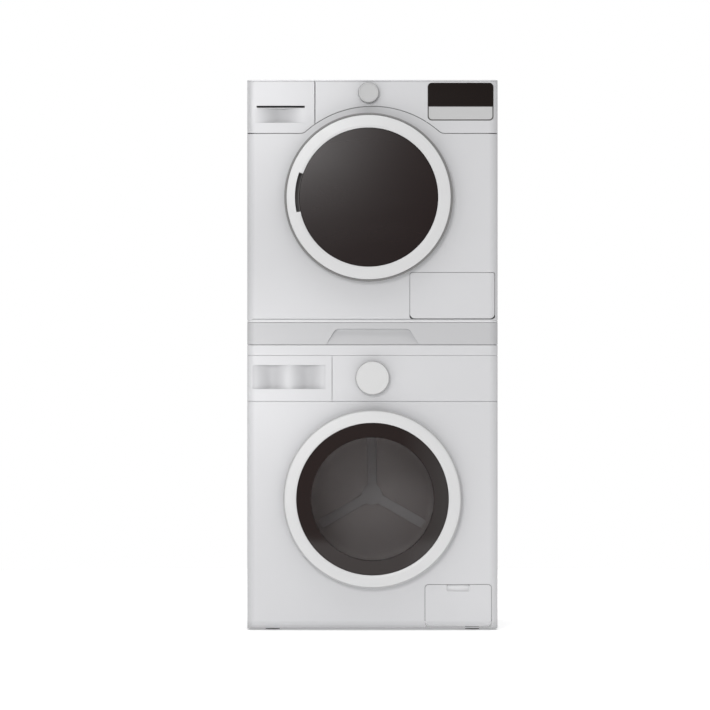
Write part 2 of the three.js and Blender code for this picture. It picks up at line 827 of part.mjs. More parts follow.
function washer() {
  const ring = doorRing(washerDoorRadius, washerGlassRadius);
  const sweep = hingeSweep(washerDoorRadius, -1, doorAngle);
  const drumPulley = pulley(washerPulleyRadius, shaftRadius + fit, pulleyThickness, 6);
  return placed(
    0, 0, 0,
    piece("washer_cabinet", washerCabinet(), "enamel"),
    piece("washer_base", washerBase(), "castMetal"),
    piece("washer_front_panel", washerFrontPanel(), "enamel"),
    piece("washer_fascia", washerFascia(), "moulding"),
    piece("washer_worktop", worktop(), "moulding"),
    piece("detergent_drawer_front", drawerFront(), "moulding"),
    piece("detergent_drawer_tray", drawerTray(), "tank"),
    piece("detergent_drawer_housing", drawerHousing(), "innerPlastic"),
    placed(0, frontY, washerKnobZ, piece("washer_knob", knob(washerKnobRadius, 22, 5), "ring")),
    piece("washer_filter_flap", filterFlap(), "moulding"),
    piece("washer_drain_pump", drainPump(), "innerPlastic"),
    placed(pumpX, 0, pumpZ, piece("washer_filter_cap", filterCap(), "darkPlastic")),
    piece("washer_tub", tub(), "innerPlastic"),
    piece("washer_door_seal", doorSeal(), "rubber"),
    placed(
      0, 0, washerDoorZ,
      piece("washer_drum", washerDrum(), "stainless"),
      piece("washer_drum_spider", drumSpider(), "castMetal"),
      placed(0, pulleyY, 0, piece("washer_drum_pulley", drumPulley, "castMetal")),
    ),
    piece("washer_belt", washerBelt(), "rubber"),
    placed(
      motorX, 0, motorZ,
      placed(0, pulleyY - 164, 0, piece("washer_motor", motor(motorRadius, 160, 6), "castMetal")),
      placed(0, pulleyY, 0, piece("washer_motor_pulley", motorPulley(6, 40), "castMetal")),
    ),
    placed(inletX, 0, inletZ, piece("washer_inlet_valve", inletValve(), "darkPlastic")),
    placed(glandX, 0, washerGlandZ, piece("washer_cord_gland", cordGland(), "darkPlastic")),
    placed(
      0, frontY, washerDoorZ,
      piece("washer_door_ring", ring.subtract(sweep), "ring"),
      piece("washer_door_glass", doorGlass(washerGlassRadius, 3), "tintedGlass"),
      piece("washer_door_bowl", doorBowl(), "tintedGlass"),
      piece("washer_door_frame", washerDoorFrame(), "darkPlastic"),
      piece("washer_door_lock", doorLock(), "innerPlastic"),
      piece("washer_hinge_bracket", hingeBracket(washerDoorRadius, -1), "castMetal"),
      piece("washer_hinge_pin", hingePin(washerDoorRadius, -1), "stainless"),
    ),
    placed(-footX, footFrontY, 0, piece("foot_front_left", foot(), "darkPlastic")),
    placed(footX, footFrontY, 0, piece("foot_front_right", foot(), "darkPlastic")),
    placed(-footX, footRearY, 0, piece("foot_rear_left", foot(), "darkPlastic")),
    placed(footX, footRearY, 0, piece("foot_rear_right", foot(), "darkPlastic")),
  );
}

// ---- Stacking kit -------------------------------------------------------------------------------
// Local frame: z = 0 at the worktop's top.
const kitRoom = kitHeight - kitTopThickness;
const shelfSide = width / 2 - kitRailWidth - 3 * running;

// Top plate on two side rails and a back rail, open below and towards the front.
function stackingFrame() {
  const front = frontY + returnDepth + running;
  const top = column(frontPlan(0, backY), kitRoom, kitHeight - fit);
  const rails = box(-width / 2, width / 2, front, backY, 0, kitRoom + 1);
  const side = width / 2 - kitRailWidth;
  return top.add(rails.subtract(box(-side, side, front - 1, backY - kitRailWidth, -1, kitRoom)));
}

// Shelf front with a finger scoop that is deepest behind its upper edge.
function shelfFront() {
  const top = kitRoom - running;
  const skin = frontBlock(0, 0, running, top, frontY + returnDepth);
  const hollow = box(-shelfSide, shelfSide, frontY + 22, frontY + returnDepth + 1, 0, kitHeight);
  const low = shelfGripBottom / 2;
  const high = shelfGripTop / 2;
  const mouth = outline([[-low, -10], [-high, shelfGripHeight, 8], [high, shelfGripHeight, 8], [low, -10]]);
  const scoop = outline([
    [frontY - 1, -1],
    [frontY - 1, shelfGripHeight + 1],
    [frontY + 17, shelfGripHeight + 1, 6],
    [frontY + 3, -1],
  ]);
  const lip = box(-high + 4, high - 4, frontY + 5, frontY + 15, shelfGripHeight - 10, shelfGripHeight + 6);
  const grip = plate(mouth, frontY - 2, frontY + 30).intersect(beam(scoop, -width, width));
  return skin.subtract(hollow).subtract(grip).subtract(lip);
}

// Shallow tray behind the shelf front.
function shelfTray() {
  const front = frontY + 22 + fit;
  const rear = backY - kitRailWidth - 8;
  const tray = box(-shelfSide + fit, shelfSide - fit, front, rear, 6, 34);
  return tray.subtract(box(-shelfSide + 3, shelfSide - 3, front + 3, rear - 3, 9, 35));
}

function stackingKit() {
  return placed(
    0, 0, washerHeight,
    piece("stacking_frame", stackingFrame(), "shelfGrey"),
    piece("shelf_front", shelfFront(), "shelfGrey"),
    piece("shelf_tray", shelfTray(), "innerPlastic"),
  );
}

// ---- Dryer --------------------------------------------------------------------------------------
// Local frame: z = 0 at the stacking kit's top.
const dryerFrontTop = dryerHeight - dryerTopLip - running;
const dryerFasciaBottom = dryerHeight - dryerFasciaHeight;
const archCentreZ = dryerFasciaBottom + archRise - archRadius;
const dryerDoorZ = dryerFasciaBottom + archRise - dryerDoorDrop - dryerDoorRadius;
const dryerGlassRadius = dryerDoorRadius - dryerRingWidth;
const dryerOpening = dryerGlassRadius - 8;
const dryerLatchReach = dryerGlassRadius + 8;
const dryerDrumRoom = width / 2 - sheetWall - dryerDrumSideGap;
const dryerDrumRadius = Math.min(dryerDrumRoom, dryerDoorZ - dryerDrumFloorGap);
const containerRight = -width / 2 + containerWidth;
const slotZ = dryerHeight - 64.5;
const dryerKnobZ = dryerHeight - 31;
const displayX1 = width / 2 - displayMargin;
const displayX0 = displayX1 - displayWidth;
const displayZ1 = dryerHeight - displayDrop;
const displayZ0 = displayZ1 - displayHeight;
const bulkheadY = frontY + 60;
const dryerDrumFront = bulkheadY + 3;
const dryerDrumBack = backY - 70;
const dryerMotorX = -width / 2 + 100;
const dryerMotorZ = 62;
const fanRadius = 52;
const dryerGlandZ = 90;
const filterX = 80; // half the width of the lint filter
const filterY0 = frontY + 22;
const filterY1 = frontY + 40;

// Lower edge of the fascia, from right to left: straight, rounded into an arch over the door, straight.
function archLine(shift) {
  const cornerZ = dryerFasciaBottom + archCornerRadius;
  const reach = archRadius + archCornerRadius;
  const cornerX = Math.sqrt(reach ** 2 - (cornerZ - archCentreZ) ** 2);
  const lean = THREE.MathUtils.radToDeg(Math.atan2(cornerZ - archCentreZ, cornerX));
  const corner = archCornerRadius - shift;
  return [
    new THREE.Vector2(width, dryerFasciaBottom + shift),
    ...arc(cornerX, cornerZ, corner, -90, lean - 180, 4),
    ...arc(0, archCentreZ, archRadius + shift, lean + 2, 178 - lean, 16),
    ...arc(-cornerX, cornerZ, corner, -lean, -90, 4),
    new THREE.Vector2(-width, dryerFasciaBottom + shift),
  ];
}

function aboveArch(shift) {
  const top = dryerHeight + 50;
  return frontCut([...archLine(shift), new THREE.Vector2(-width, top), new THREE.Vector2(width, top)]);
}

function belowArch(shift) {
  return frontCut([...archLine(shift), new THREE.Vector2(-width, -50), new THREE.Vector2(width, -50)]);
}

function serviceFlapOutline(gap) {
  const left = width / 2 - serviceFlapMargin - serviceFlapWidth;
  return flapOutline(left, serviceFlapWidth, serviceFlapBottom, serviceFlapHeight, serviceFlapCorner, gap);
}

function dryerSkin() {
  return frontSkin(dryerRoll, running, dryerFrontTop);
}

function dryerFrontPanel() {
  const opening = disc(dryerOpening, frontY - 1, frontY + returnDepth, dryerDoorX, dryerDoorZ);
  const slots = hingeSlots(dryerDoorRadius, 1).translate([dryerDoorX, frontY, dryerDoorZ]);
  const latchX = dryerDoorX - dryerLatchReach;
  const latch = box(latchX - 6, latchX + 6, frontY - 1, frontY + 9, dryerDoorZ - 14, dryerDoorZ + 14);
  const panel = dryerSkin().intersect(belowArch(-seam / 2));
  return panel.subtract(opening).subtract(slots).subtract(latch).subtract(frontCut(serviceFlapOutline(0)));
}

function serviceFlap() {
  return dryerSkin().intersect(frontCut(serviceFlapOutline(flapSeam)));
}

function dryerFascia() {
  const right = box(containerRight + seam / 2, width, frontY - 1, backY, 0, dryerHeight);
  const shaft = disc(5, frontY - 1, frontY + 10, dryerDoorX, dryerKnobZ, smallSides);
  const pocket = rectangle(displayX0, displayX1, displayZ0, displayZ1, 10);
  const window = plate(pocket, frontY - 1, frontY + displayPocket);
  const backing = box(displayX0 - 4, displayX1 - 12, frontY + 1, frontY + 6, displayZ0 - 4, dryerFrontTop - 1);
  const tall = dryerSkin().add(backing).intersect(aboveArch(seam / 2)).intersect(right);
  return tall.subtract(shaft).subtract(window);
}

// Dark display with rounded corners that fills its pocket in the fascia.
function display() {
  const glass = plate(
    rectangle(displayX0 + fit, displayX1 - fit, displayZ0 + fit, displayZ1 - fit, 10 - fit),
    frontY - 0.4, frontY + displayPocket - fit,
  );
  return glass.intersect(frontBlock(0, dryerRoll, running, dryerHeight, frontY + returnDepth));
}

// Water container front with a slot and a scoop below it for the fingers.
function containerFront() {
  const left = box(-width, containerRight - seam / 2, frontY - 1, backY, 0, dryerHeight);
  const face = dryerSkin().intersect(aboveArch(seam / 2)).intersect(left);
  const x0 = -width / 2 + 22.6;
  const x1 = containerRight - 23.3;
  const backing = box(x0 - 6, x1 + 6, frontY + 1, frontY + 23, slotZ - 9, slotZ + 16);
  const slot = box(x0, x1, frontY - 1, frontY + 20, slotZ - 2.8, slotZ + 2.8);
  const behindLip = box(x0, x1, frontY + 5, frontY + 20, slotZ - 2.8, slotZ + 12);
  return face.add(backing).subtract(slot).subtract(behindLip);
}

// Flat tank behind the container front, with a filling mouth near its rear.
const tankX0 = -width / 2 + 10;
const tankX1 = containerRight - 4;
const tankFront = frontY + returnDepth;
const tankLength = 380;
const tankTop = dryerHeight - 22;
const tankHeight = 42;

function containerTank() {
  const wall = 2.5;
  const neck = tankFront - 12.7;
  const z0 = tankTop - tankHeight;
  const outer = box(tankX0, tankX1, tankFront, tankFront + tankLength, z0, tankTop);
  const link = box(-width / 2 + 20, containerRight - 25, neck, tankFront + 1, z0 + 4, tankTop - 8);
  const inside = box(
    tankX0 + wall, tankX1 - wall, tankFront + wall, tankFront + tankLength - wall, z0 + wall, tankTop - wall,
  );
  const mouth = turnedUp(
    [[0, tankTop - 10], [18, tankTop - 10], [18, tankTop + 1], [0, tankTop + 1]],
    (tankX0 + tankX1) / 2, tankFront + tankLength - 50,
  );
  return outer.add(link).subtract(inside).subtract(mouth);
}

function dryerTop() {
  const lip = column(frontPlan(0, backY), dryerHeight - dryerTopLip, dryerHeight);
  const inset = skinWall + running;
  const side = width / 2 - inset;
  const bottom = dryerHeight - 16;
  return lip.add(box(-side, side, frontY + 30, backY - inset, bottom, dryerHeight - dryerTopLip + 1));
}

function dryerCabinet() {
  const wrap = cabinetWrap(running, dryerHeight - dryerTopLip - fit);
  return wrap.subtract(disc(9.4, backY - 10, backY + 1, glandX, dryerGlandZ, smallSides));
}

// Front bulkhead: a collar from the front panel to the drum and the flange that the drum runs against.
function bulkhead() {
  const front = frontY + skinWall + fit;
  const collar = turned([
    [dryerOpening - 4, front],
    [dryerOpening + 6, front],
    [dryerOpening + 6, front + 3],
    [dryerOpening, front + 6],
    [dryerOpening, bulkheadY - 4],
    [dryerDrumRadius + 5, bulkheadY - 4],
    [dryerDrumRadius + 5, bulkheadY],
    [dryerOpening - 4, bulkheadY],
  ], dryerDoorX, dryerDoorZ);
  const slot = filterX + running;
  return collar.subtract(
    box(dryerDoorX - slot, dryerDoorX + slot, filterY0 - running, filterY1 + running, 0, dryerDoorZ - 100),
  );
}

// Lint filter: a flat cassette that stands in the collar's lowest part.
function lintFilter() {
  const top = dryerDoorZ - Math.sqrt((dryerOpening - 4) ** 2 - filterX ** 2) - 24;
  const cassette = box(dryerDoorX - filterX, dryerDoorX + filterX, filterY0, filterY1, top - 70, top);
  const pocket = box(
    dryerDoorX - filterX + 4, dryerDoorX + filterX - 4, filterY0 + 4, filterY1 - 4, top - 66, top + 1,
  );
  return cassette.subtract(pocket);
}

function dryerDrum() {
  const wall = 2;
  const lip = dryerDrumRadius - dryerDrumLip;
  const shell = turned([
    [0, dryerDrumBack - wall],
    [dryerDrumRadius - 10, dryerDrumBack - wall],
    [dryerDrumRadius - wall, dryerDrumBack - 10],
    [dryerDrumRadius - wall, dryerDrumFront + wall],
    [lip, dryerDrumFront + wall],
    [lip, dryerDrumFront],
    [dryerDrumRadius, dryerDrumFront],
    [dryerDrumRadius, dryerDrumBack - 10],
    [dryerDrumRadius - 10, dryerDrumBack],
    [0, dryerDrumBack],
  ]);
  const room = shell.add(disc(dryerDrumRadius - 1, dryerDrumFront + 1, dryerDrumBack - 1));
  let drum = shell.add(disc(10, dryerDrumBack - 1, dryerDrumBack + 30, 0, 0, smallSides));
  for (const degrees of [60, 180, 300]) {
    const lifter = outline([
      [-34, dryerDrumRadius - 1.5],
      [-8, dryerDrumRadius - 52, 6],
      [8, dryerDrumRadius - 52, 6],
      [34, dryerDrumRadius - 1.5],
    ]);
    drum = drum.add(clocked(lifter, degrees, dryerDrumFront + 24, dryerDrumBack - 24).intersect(room));
  }
  return drum;
}

// Radial fan on the rear end of the motor's shaft.
function fan() {
  const blades = 8;
  const shaft = disc(6, -150, 28, 0, 0, smallSides);
  let wheel = disc(fanRadius, 26, 29, 0, 0, smallSides).add(shaft);
  for (let index = 0; index < blades; index += 1) {
    const blade = rectangle(18, fanRadius, -1.2, 1.2);
    wheel = wheel.add(clocked(blade, (index * 360) / blades, 4, 27));
  }
  return wheel;
}

function dryerBase() {
  return basePan(fit, 13, 3, frontY + returnDepth + running);
}

// Condenser block with a grille of air passages from front to back.
function heatExchanger() {
  const x1 = width / 2 - 16;
  const x0 = x1 - 172;
  const z0 = 16;
  const z1 = 66;
  const bars = 9;
  const pitch = (x1 - x0 - 6) / bars;
  let block = box(x0, x1, frontY + 24, frontY + 330, z0, z1);
  for (let index = 0; index < bars; index += 1) {
    const left = x0 + 6 + index * pitch;
    block = block.subtract(box(left, left + pitch - 6, frontY + 20, frontY + 340, z0 + 6, z1 - 6));
  }
  return block;
}

// Door grip: a cup behind the door ring's inner edge, on the side away from the hinge.
const gripFrom = 160.3;
const gripTo = 192;
const gripMouth = 10;
const gripReach = 24;

function gripCup() {
  const outer = plate(
    sector(0, 0, dryerGlassRadius + fit, dryerGlassRadius + gripReach, gripFrom, gripTo),
    -doorProud + 5, ringBack - 1,
  );
  const hollow = sector(
    0, 0, dryerGlassRadius + 2, dryerGlassRadius + gripReach - 2, gripFrom + 0.7, gripTo - 0.7,
  );
  return outer.subtract(plate(hollow, -doorProud, ringBack - 3));
}

function gripPocket() {
  const mouth = plate(
    sector(0, 0, dryerGlassRadius - 1, dryerGlassRadius + gripMouth, gripFrom, gripTo),
    -doorProud - 1, -doorProud + 6,
  );
  const pocket = plate(
    sector(0, 0, dryerGlassRadius - 7, dryerGlassRadius + gripReach + fit, gripFrom - 0.1, gripTo + 0.1),
    -doorProud + 5 - fit, ringBack + 1,
  );
  return mouth.add(pocket);
}

// Inner side of the dryer door: a flange and a dished plug that reaches into the bulkhead's collar.
function dryerDoorInner() {
  const wall = 3;
  const plugRadius = dryerOpening - 12;
  const plugDepth = 18;
  const plug = turned([
    [0, plugDepth],
    [plugRadius, plugDepth, 8],
    [plugRadius, -doorGap],
    [dryerDoorRadius - 8.4, -doorGap, 1.5],
    [dryerDoorRadius - 8.4, ringBack + fit],
    [plugRadius - wall, ringBack + fit],
    [plugRadius - wall, plugDepth - wall],
    [0, plugDepth - wall],
  ]);
  const x = -dryerLatchReach;
  const hook = box(x - 2, x + 2, -doorGap - 1, 12, -10, 10);
  return plug.add(hook).subtract(hingeSweep(dryerDoorRadius, 1, doorAngle));
}

function dryer() {
  const sweep = hingeSweep(dryerDoorRadius, 1, doorAngle);
  const ring = doorRing(dryerDoorRadius, dryerGlassRadius);
  return placed(
    0, 0, washerHeight + kitHeight,
    piece("dryer_cabinet", dryerCabinet(), "enamel"),
    piece("dryer_base", dryerBase(), "innerPlastic"),
    piece("dryer_front_panel", dryerFrontPanel(), "enamel"),
    piece("dryer_fascia", dryerFascia(), "moulding"),
    piece("dryer_top", dryerTop(), "moulding"),
    piece("dryer_display", display(), "darkGlass"),
    placed(dryerDoorX, frontY, dryerKnobZ, piece("dryer_knob", knob(dryerKnobRadius, 20, 4), "ring")),
    piece("water_container_front", containerFront(), "moulding"),
    piece("water_container_tank", containerTank(), "tank"),
    piece("dryer_service_flap", serviceFlap(), "moulding"),
    piece("dryer_bulkhead", bulkhead(), "innerPlastic"),
    piece("dryer_lint_filter", lintFilter(), "tank"),
    placed(dryerDoorX, 0, dryerDoorZ, piece("dryer_drum", dryerDrum(), "stainless")),
    placed(
      dryerMotorX, dryerDrumBack - 60, dryerMotorZ,
      placed(0, -144, 0, piece("dryer_motor", motor(40, 140, 6), "castMetal")),
      piece("dryer_fan", fan(), "innerPlastic"),
    ),
    piece("dryer_heat_exchanger", heatExchanger(), "stainless"),
    placed(glandX, 0, dryerGlandZ, piece("dryer_cord_gland", cordGland(), "darkPlastic")),
    placed(
      dryerDoorX, frontY, dryerDoorZ,
      piece("dryer_door_ring", ring.subtract(sweep).subtract(gripPocket()), "ring"),
      piece("dryer_door_glass", doorGlass(dryerGlassRadius, 3), "darkGlass"),
      piece("dryer_door_inner", dryerDoorInner(), "innerPlastic"),
      piece("dryer_door_grip", gripCup(), "darkPlastic"),
      piece("dryer_hinge_bracket", hingeBracket(dryerDoorRadius, 1), "castMetal"),
      piece("dryer_hinge_pin", hingePin(dryerDoorRadius, 1), "stainless"),
    ),
  );
}

const group = new THREE.Group();
group.add(washer(), stackingKit(), dryer());

export default group;
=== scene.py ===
"""Looks of the washer dryer stack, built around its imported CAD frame.

Metres, +Z up, the doors face -Y. Every position comes from the frame's own boxes.
"""
import json
import math

import bmesh
import bpy
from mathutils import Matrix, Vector

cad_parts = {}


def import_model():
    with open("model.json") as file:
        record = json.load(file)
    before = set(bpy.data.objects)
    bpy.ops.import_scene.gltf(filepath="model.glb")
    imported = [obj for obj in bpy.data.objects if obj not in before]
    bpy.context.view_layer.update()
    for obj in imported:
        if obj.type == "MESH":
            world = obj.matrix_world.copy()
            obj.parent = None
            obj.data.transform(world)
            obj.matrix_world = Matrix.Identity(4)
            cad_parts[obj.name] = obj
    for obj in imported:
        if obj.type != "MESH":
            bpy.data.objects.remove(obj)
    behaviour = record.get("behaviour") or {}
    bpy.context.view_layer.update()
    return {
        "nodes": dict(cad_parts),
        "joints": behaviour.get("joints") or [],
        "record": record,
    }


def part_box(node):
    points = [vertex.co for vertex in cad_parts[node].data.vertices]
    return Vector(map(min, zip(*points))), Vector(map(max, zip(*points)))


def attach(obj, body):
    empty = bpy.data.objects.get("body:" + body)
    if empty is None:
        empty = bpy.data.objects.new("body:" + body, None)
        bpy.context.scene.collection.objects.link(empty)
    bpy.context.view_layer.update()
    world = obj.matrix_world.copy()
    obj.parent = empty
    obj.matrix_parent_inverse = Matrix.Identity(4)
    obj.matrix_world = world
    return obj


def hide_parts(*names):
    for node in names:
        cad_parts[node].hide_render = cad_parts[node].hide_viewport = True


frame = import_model()
scene = bpy.context.scene

# ---- Places taken from the frame -------------------------------------------------------------------
panel_low, panel_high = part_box("washer_front_panel")
FRONT = panel_low.y
SIDE = panel_high.x
REAR = panel_high.y
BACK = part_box("washer_cabinet")[1].y

EDGE = 0.020  # radius of the fronts' vertical edges
WALL = 0.0025  # front mouldings
HAIR = 0.0003  # how much each moulding of the washer grows into the CAD's wider seam
SOFT = 0.0007  # rounding of a moulding's visible edges
FINE = 128  # sides of a large round piece
PAST = 0.01  # how far a cutting solid reaches past the face it cuts
GROOVE = (FRONT + 0.0029, FRONT + 0.0041)  # strip that closes a seam from behind
HINGE_ARMS = (-0.035, 0.035)  # a hinge's two arms, from the door's middle
FLAP_GAP = 0.0012  # room round a flap
FLAP_GROW = 0.0001  # how much a flap's cover grows into that room


# ---- Outlines --------------------------------------------------------------------------------------
def rounded(corners, steps=8):
    """Points of a closed outline through corners (a, b, radius); a corner with a radius becomes an arc."""
    points = []
    for index, corner in enumerate(corners):
        here = Vector(corner[:2])
        radius = corner[2] if len(corner) > 2 else 0
        if radius <= 0:
            points.append(tuple(here))
            continue
        before = (Vector(corners[index - 1][:2]) - here).normalized()
        after = (Vector(corners[(index + 1) % len(corners)][:2]) - here).normalized()
        half = before.angle(after) / 2
        centre = here + (before + after).normalized() * radius / math.sin(half)
        start = here + before * radius / math.tan(half) - centre
        end = here + after * radius / math.tan(half) - centre
        sweep = math.atan2(start.x * end.y - start.y * end.x, start.dot(end))
        for step in range(steps + 1):
            turn = sweep * step / steps
            x = start.x * math.cos(turn) - start.y * math.sin(turn)
            y = start.x * math.sin(turn) + start.y * math.cos(turn)
            points.append((centre.x + x, centre.y + y))
    return points


def rectangle(a0, a1, b0, b1, radius=0.0, upper=None):
    """Rounded rectangle; the corners at b1 may have a radius of their own."""
    top = radius if upper is None else upper
    return rounded([(a0, b0, radius), (a1, b0, radius), (a1, b1, top), (a0, b1, top)])


def arc(a, b, radius, start, end, steps):
    """Points of an arc, angles in degrees from the first axis towards the second."""
    angles = [math.radians(start + (end - start) * step / steps) for step in range(steps + 1)]
    return [(a + radius * math.cos(angle), b + radius * math.sin(angle)) for angle in angles]


def sector(middle, inner, outer, start, end, steps=24):
    """Part of a flat ring between two radii and two angles, in the plane of the fronts."""
    x, z = middle.x, middle.z
    return arc(x, z, outer, start, end, steps) + arc(x, z, inner, end, start, steps)


# ---- Meshes ----------------------------------------------------------------------------------------
def from_bmesh(bm, name="work"):
    bmesh.ops.recalc_face_normals(bm, faces=bm.faces)
    mesh = bpy.data.meshes.new(name)
    bm.to_mesh(mesh)
    bm.free()
    obj = bpy.data.objects.new(name, mesh)
    scene.collection.objects.link(obj)
    return obj


PLACES = {
    "x": lambda a, b, t: (t, a, b),
    "y": lambda a, b, t: (a, t, b),
    "z": lambda a, b, t: (a, b, t),
}


def prism(points, low, high, axis="y"):
    """Closed solid of an outline drawn out along an axis; the outline lies in the other two."""
    place = PLACES[axis]
    bm = bmesh.new()
    first = [bm.verts.new(place(a, b, low)) for a, b in points]
    last = [bm.verts.new(place(a, b, high)) for a, b in points]
    bm.faces.new(first)
    bm.faces.new(last[::-1])
    for index in range(len(points)):
        bm.faces.new((first[index - 1], first[index], last[index], last[index - 1]))
    return from_bmesh(bm)


def box(x0, x1, y0, y1, z0, z1):
    return prism(rectangle(x0, x1, z0, z1), y0, y1)


def lathe(corners, middle, sides=FINE, steps=6, ribs=0, rib_depth=0.0, rib_from=0.0):
    """Turned about an axis along Y through the middle. Corners are (radius, y, fillet).

    They close on themselves, or start and end on the axis. Ribs ripple the radius of the points that lie
    further out than rib_from."""
    profile = rounded(corners, steps)
    open_ended = profile[0][0] < 1e-9
    bm = bmesh.new()
    rings = []
    for radius, y in profile:
        if radius < 1e-9:
            rings.append([bm.verts.new((middle.x, y, middle.z))])
            continue
        ring = []
        for side in range(sides):
            angle = 2 * math.pi * side / sides
            reach = radius
            if ribs and radius > rib_from:
                reach -= rib_depth * (0.5 + 0.5 * math.cos(ribs * angle))
            x, z = middle.x + reach * math.sin(angle), middle.z + reach * math.cos(angle)
            ring.append(bm.verts.new((x, y, z)))
        rings.append(ring)
    pairs = list(zip(rings, rings[1:]))
    if not open_ended:
        pairs.append((rings[-1], rings[0]))
    for lower, upper in pairs:
        for side in range(sides):
            loop = [lower[side % len(lower)], lower[(side + 1) % len(lower)]]
            loop += [upper[(side + 1) % len(upper)], upper[side % len(upper)]]
            corners_of_face = list(dict.fromkeys(loop))
            if len(corners_of_face) > 2:
                bm.faces.new(corners_of_face)
    return from_bmesh(bm)


def applied(obj):
    """Replaces the mesh by what its modifiers make of it."""
    bpy.context.view_layer.update()
    shown = obj.evaluated_get(bpy.context.evaluated_depsgraph_get())
    mesh = bpy.data.meshes.new_from_object(shown)
    obj.modifiers.clear()
    obj.data = mesh
    return obj


def boolean(target, tool, operation):
    modifier = target.modifiers.new("boolean", "BOOLEAN")
    modifier.operation = operation
    modifier.object = tool
    modifier.solver = "MANIFOLD"
    applied(target)
    bpy.data.objects.remove(tool)
    return target


def cut(target, *tools):
    for tool in tools:
        boolean(target, tool, "DIFFERENCE")
    return target


def common(target, *tools):
    for tool in tools:
        boolean(target, tool, "INTERSECT")
    return target


def joined(target, *tools):
    for tool in tools:
        boolean(target, tool, "UNION")
    return target


def soften(obj, width=SOFT, segments=3, angle=35):
    """Rounds every edge that is sharper than the angle."""
    bm = bmesh.new()
    bm.from_mesh(obj.data)
    bmesh.ops.remove_doubles(bm, verts=bm.verts, dist=1e-6)
    bmesh.ops.dissolve_limit(bm, angle_limit=math.radians(0.6), verts=bm.verts, edges=bm.edges)
    bm.to_mesh(obj.data)
    bm.free()
    modifier = obj.modifiers.new("bevel", "BEVEL")
    modifier.width = width
    modifier.segments = segments
    modifier.limit_method = "ANGLE"
    modifier.angle_limit = math.radians(angle)
    modifier.use_clamp_overlap = True
    modifier.miter_outer = "MITER_ARC"
    return applied(obj)


def finish(obj, name, material, slot, *nodes, body="cabinet", smooth=32):
    """Names a piece, gives it its material and puts it on its body in place of the CAD nodes."""
    obj.name = name
    obj.data.name = name
    obj.data.materials.clear()
    obj.data.materials.append(material)
    obj.data.shade_smooth()
    obj.data.set_sharp_from_angle(angle=math.radians(smooth))
    normals = obj.modifiers.new("normals", "WEIGHTED_NORMAL")
    normals.keep_sharp = True
    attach(obj, body)
    if nodes:
        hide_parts(*nodes)
    return obj


def centre_of(node):
    low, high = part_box(node)
    return (low + high) / 2


def radius_of(node):
    low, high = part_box(node)
    return (high.z - low.z) / 2


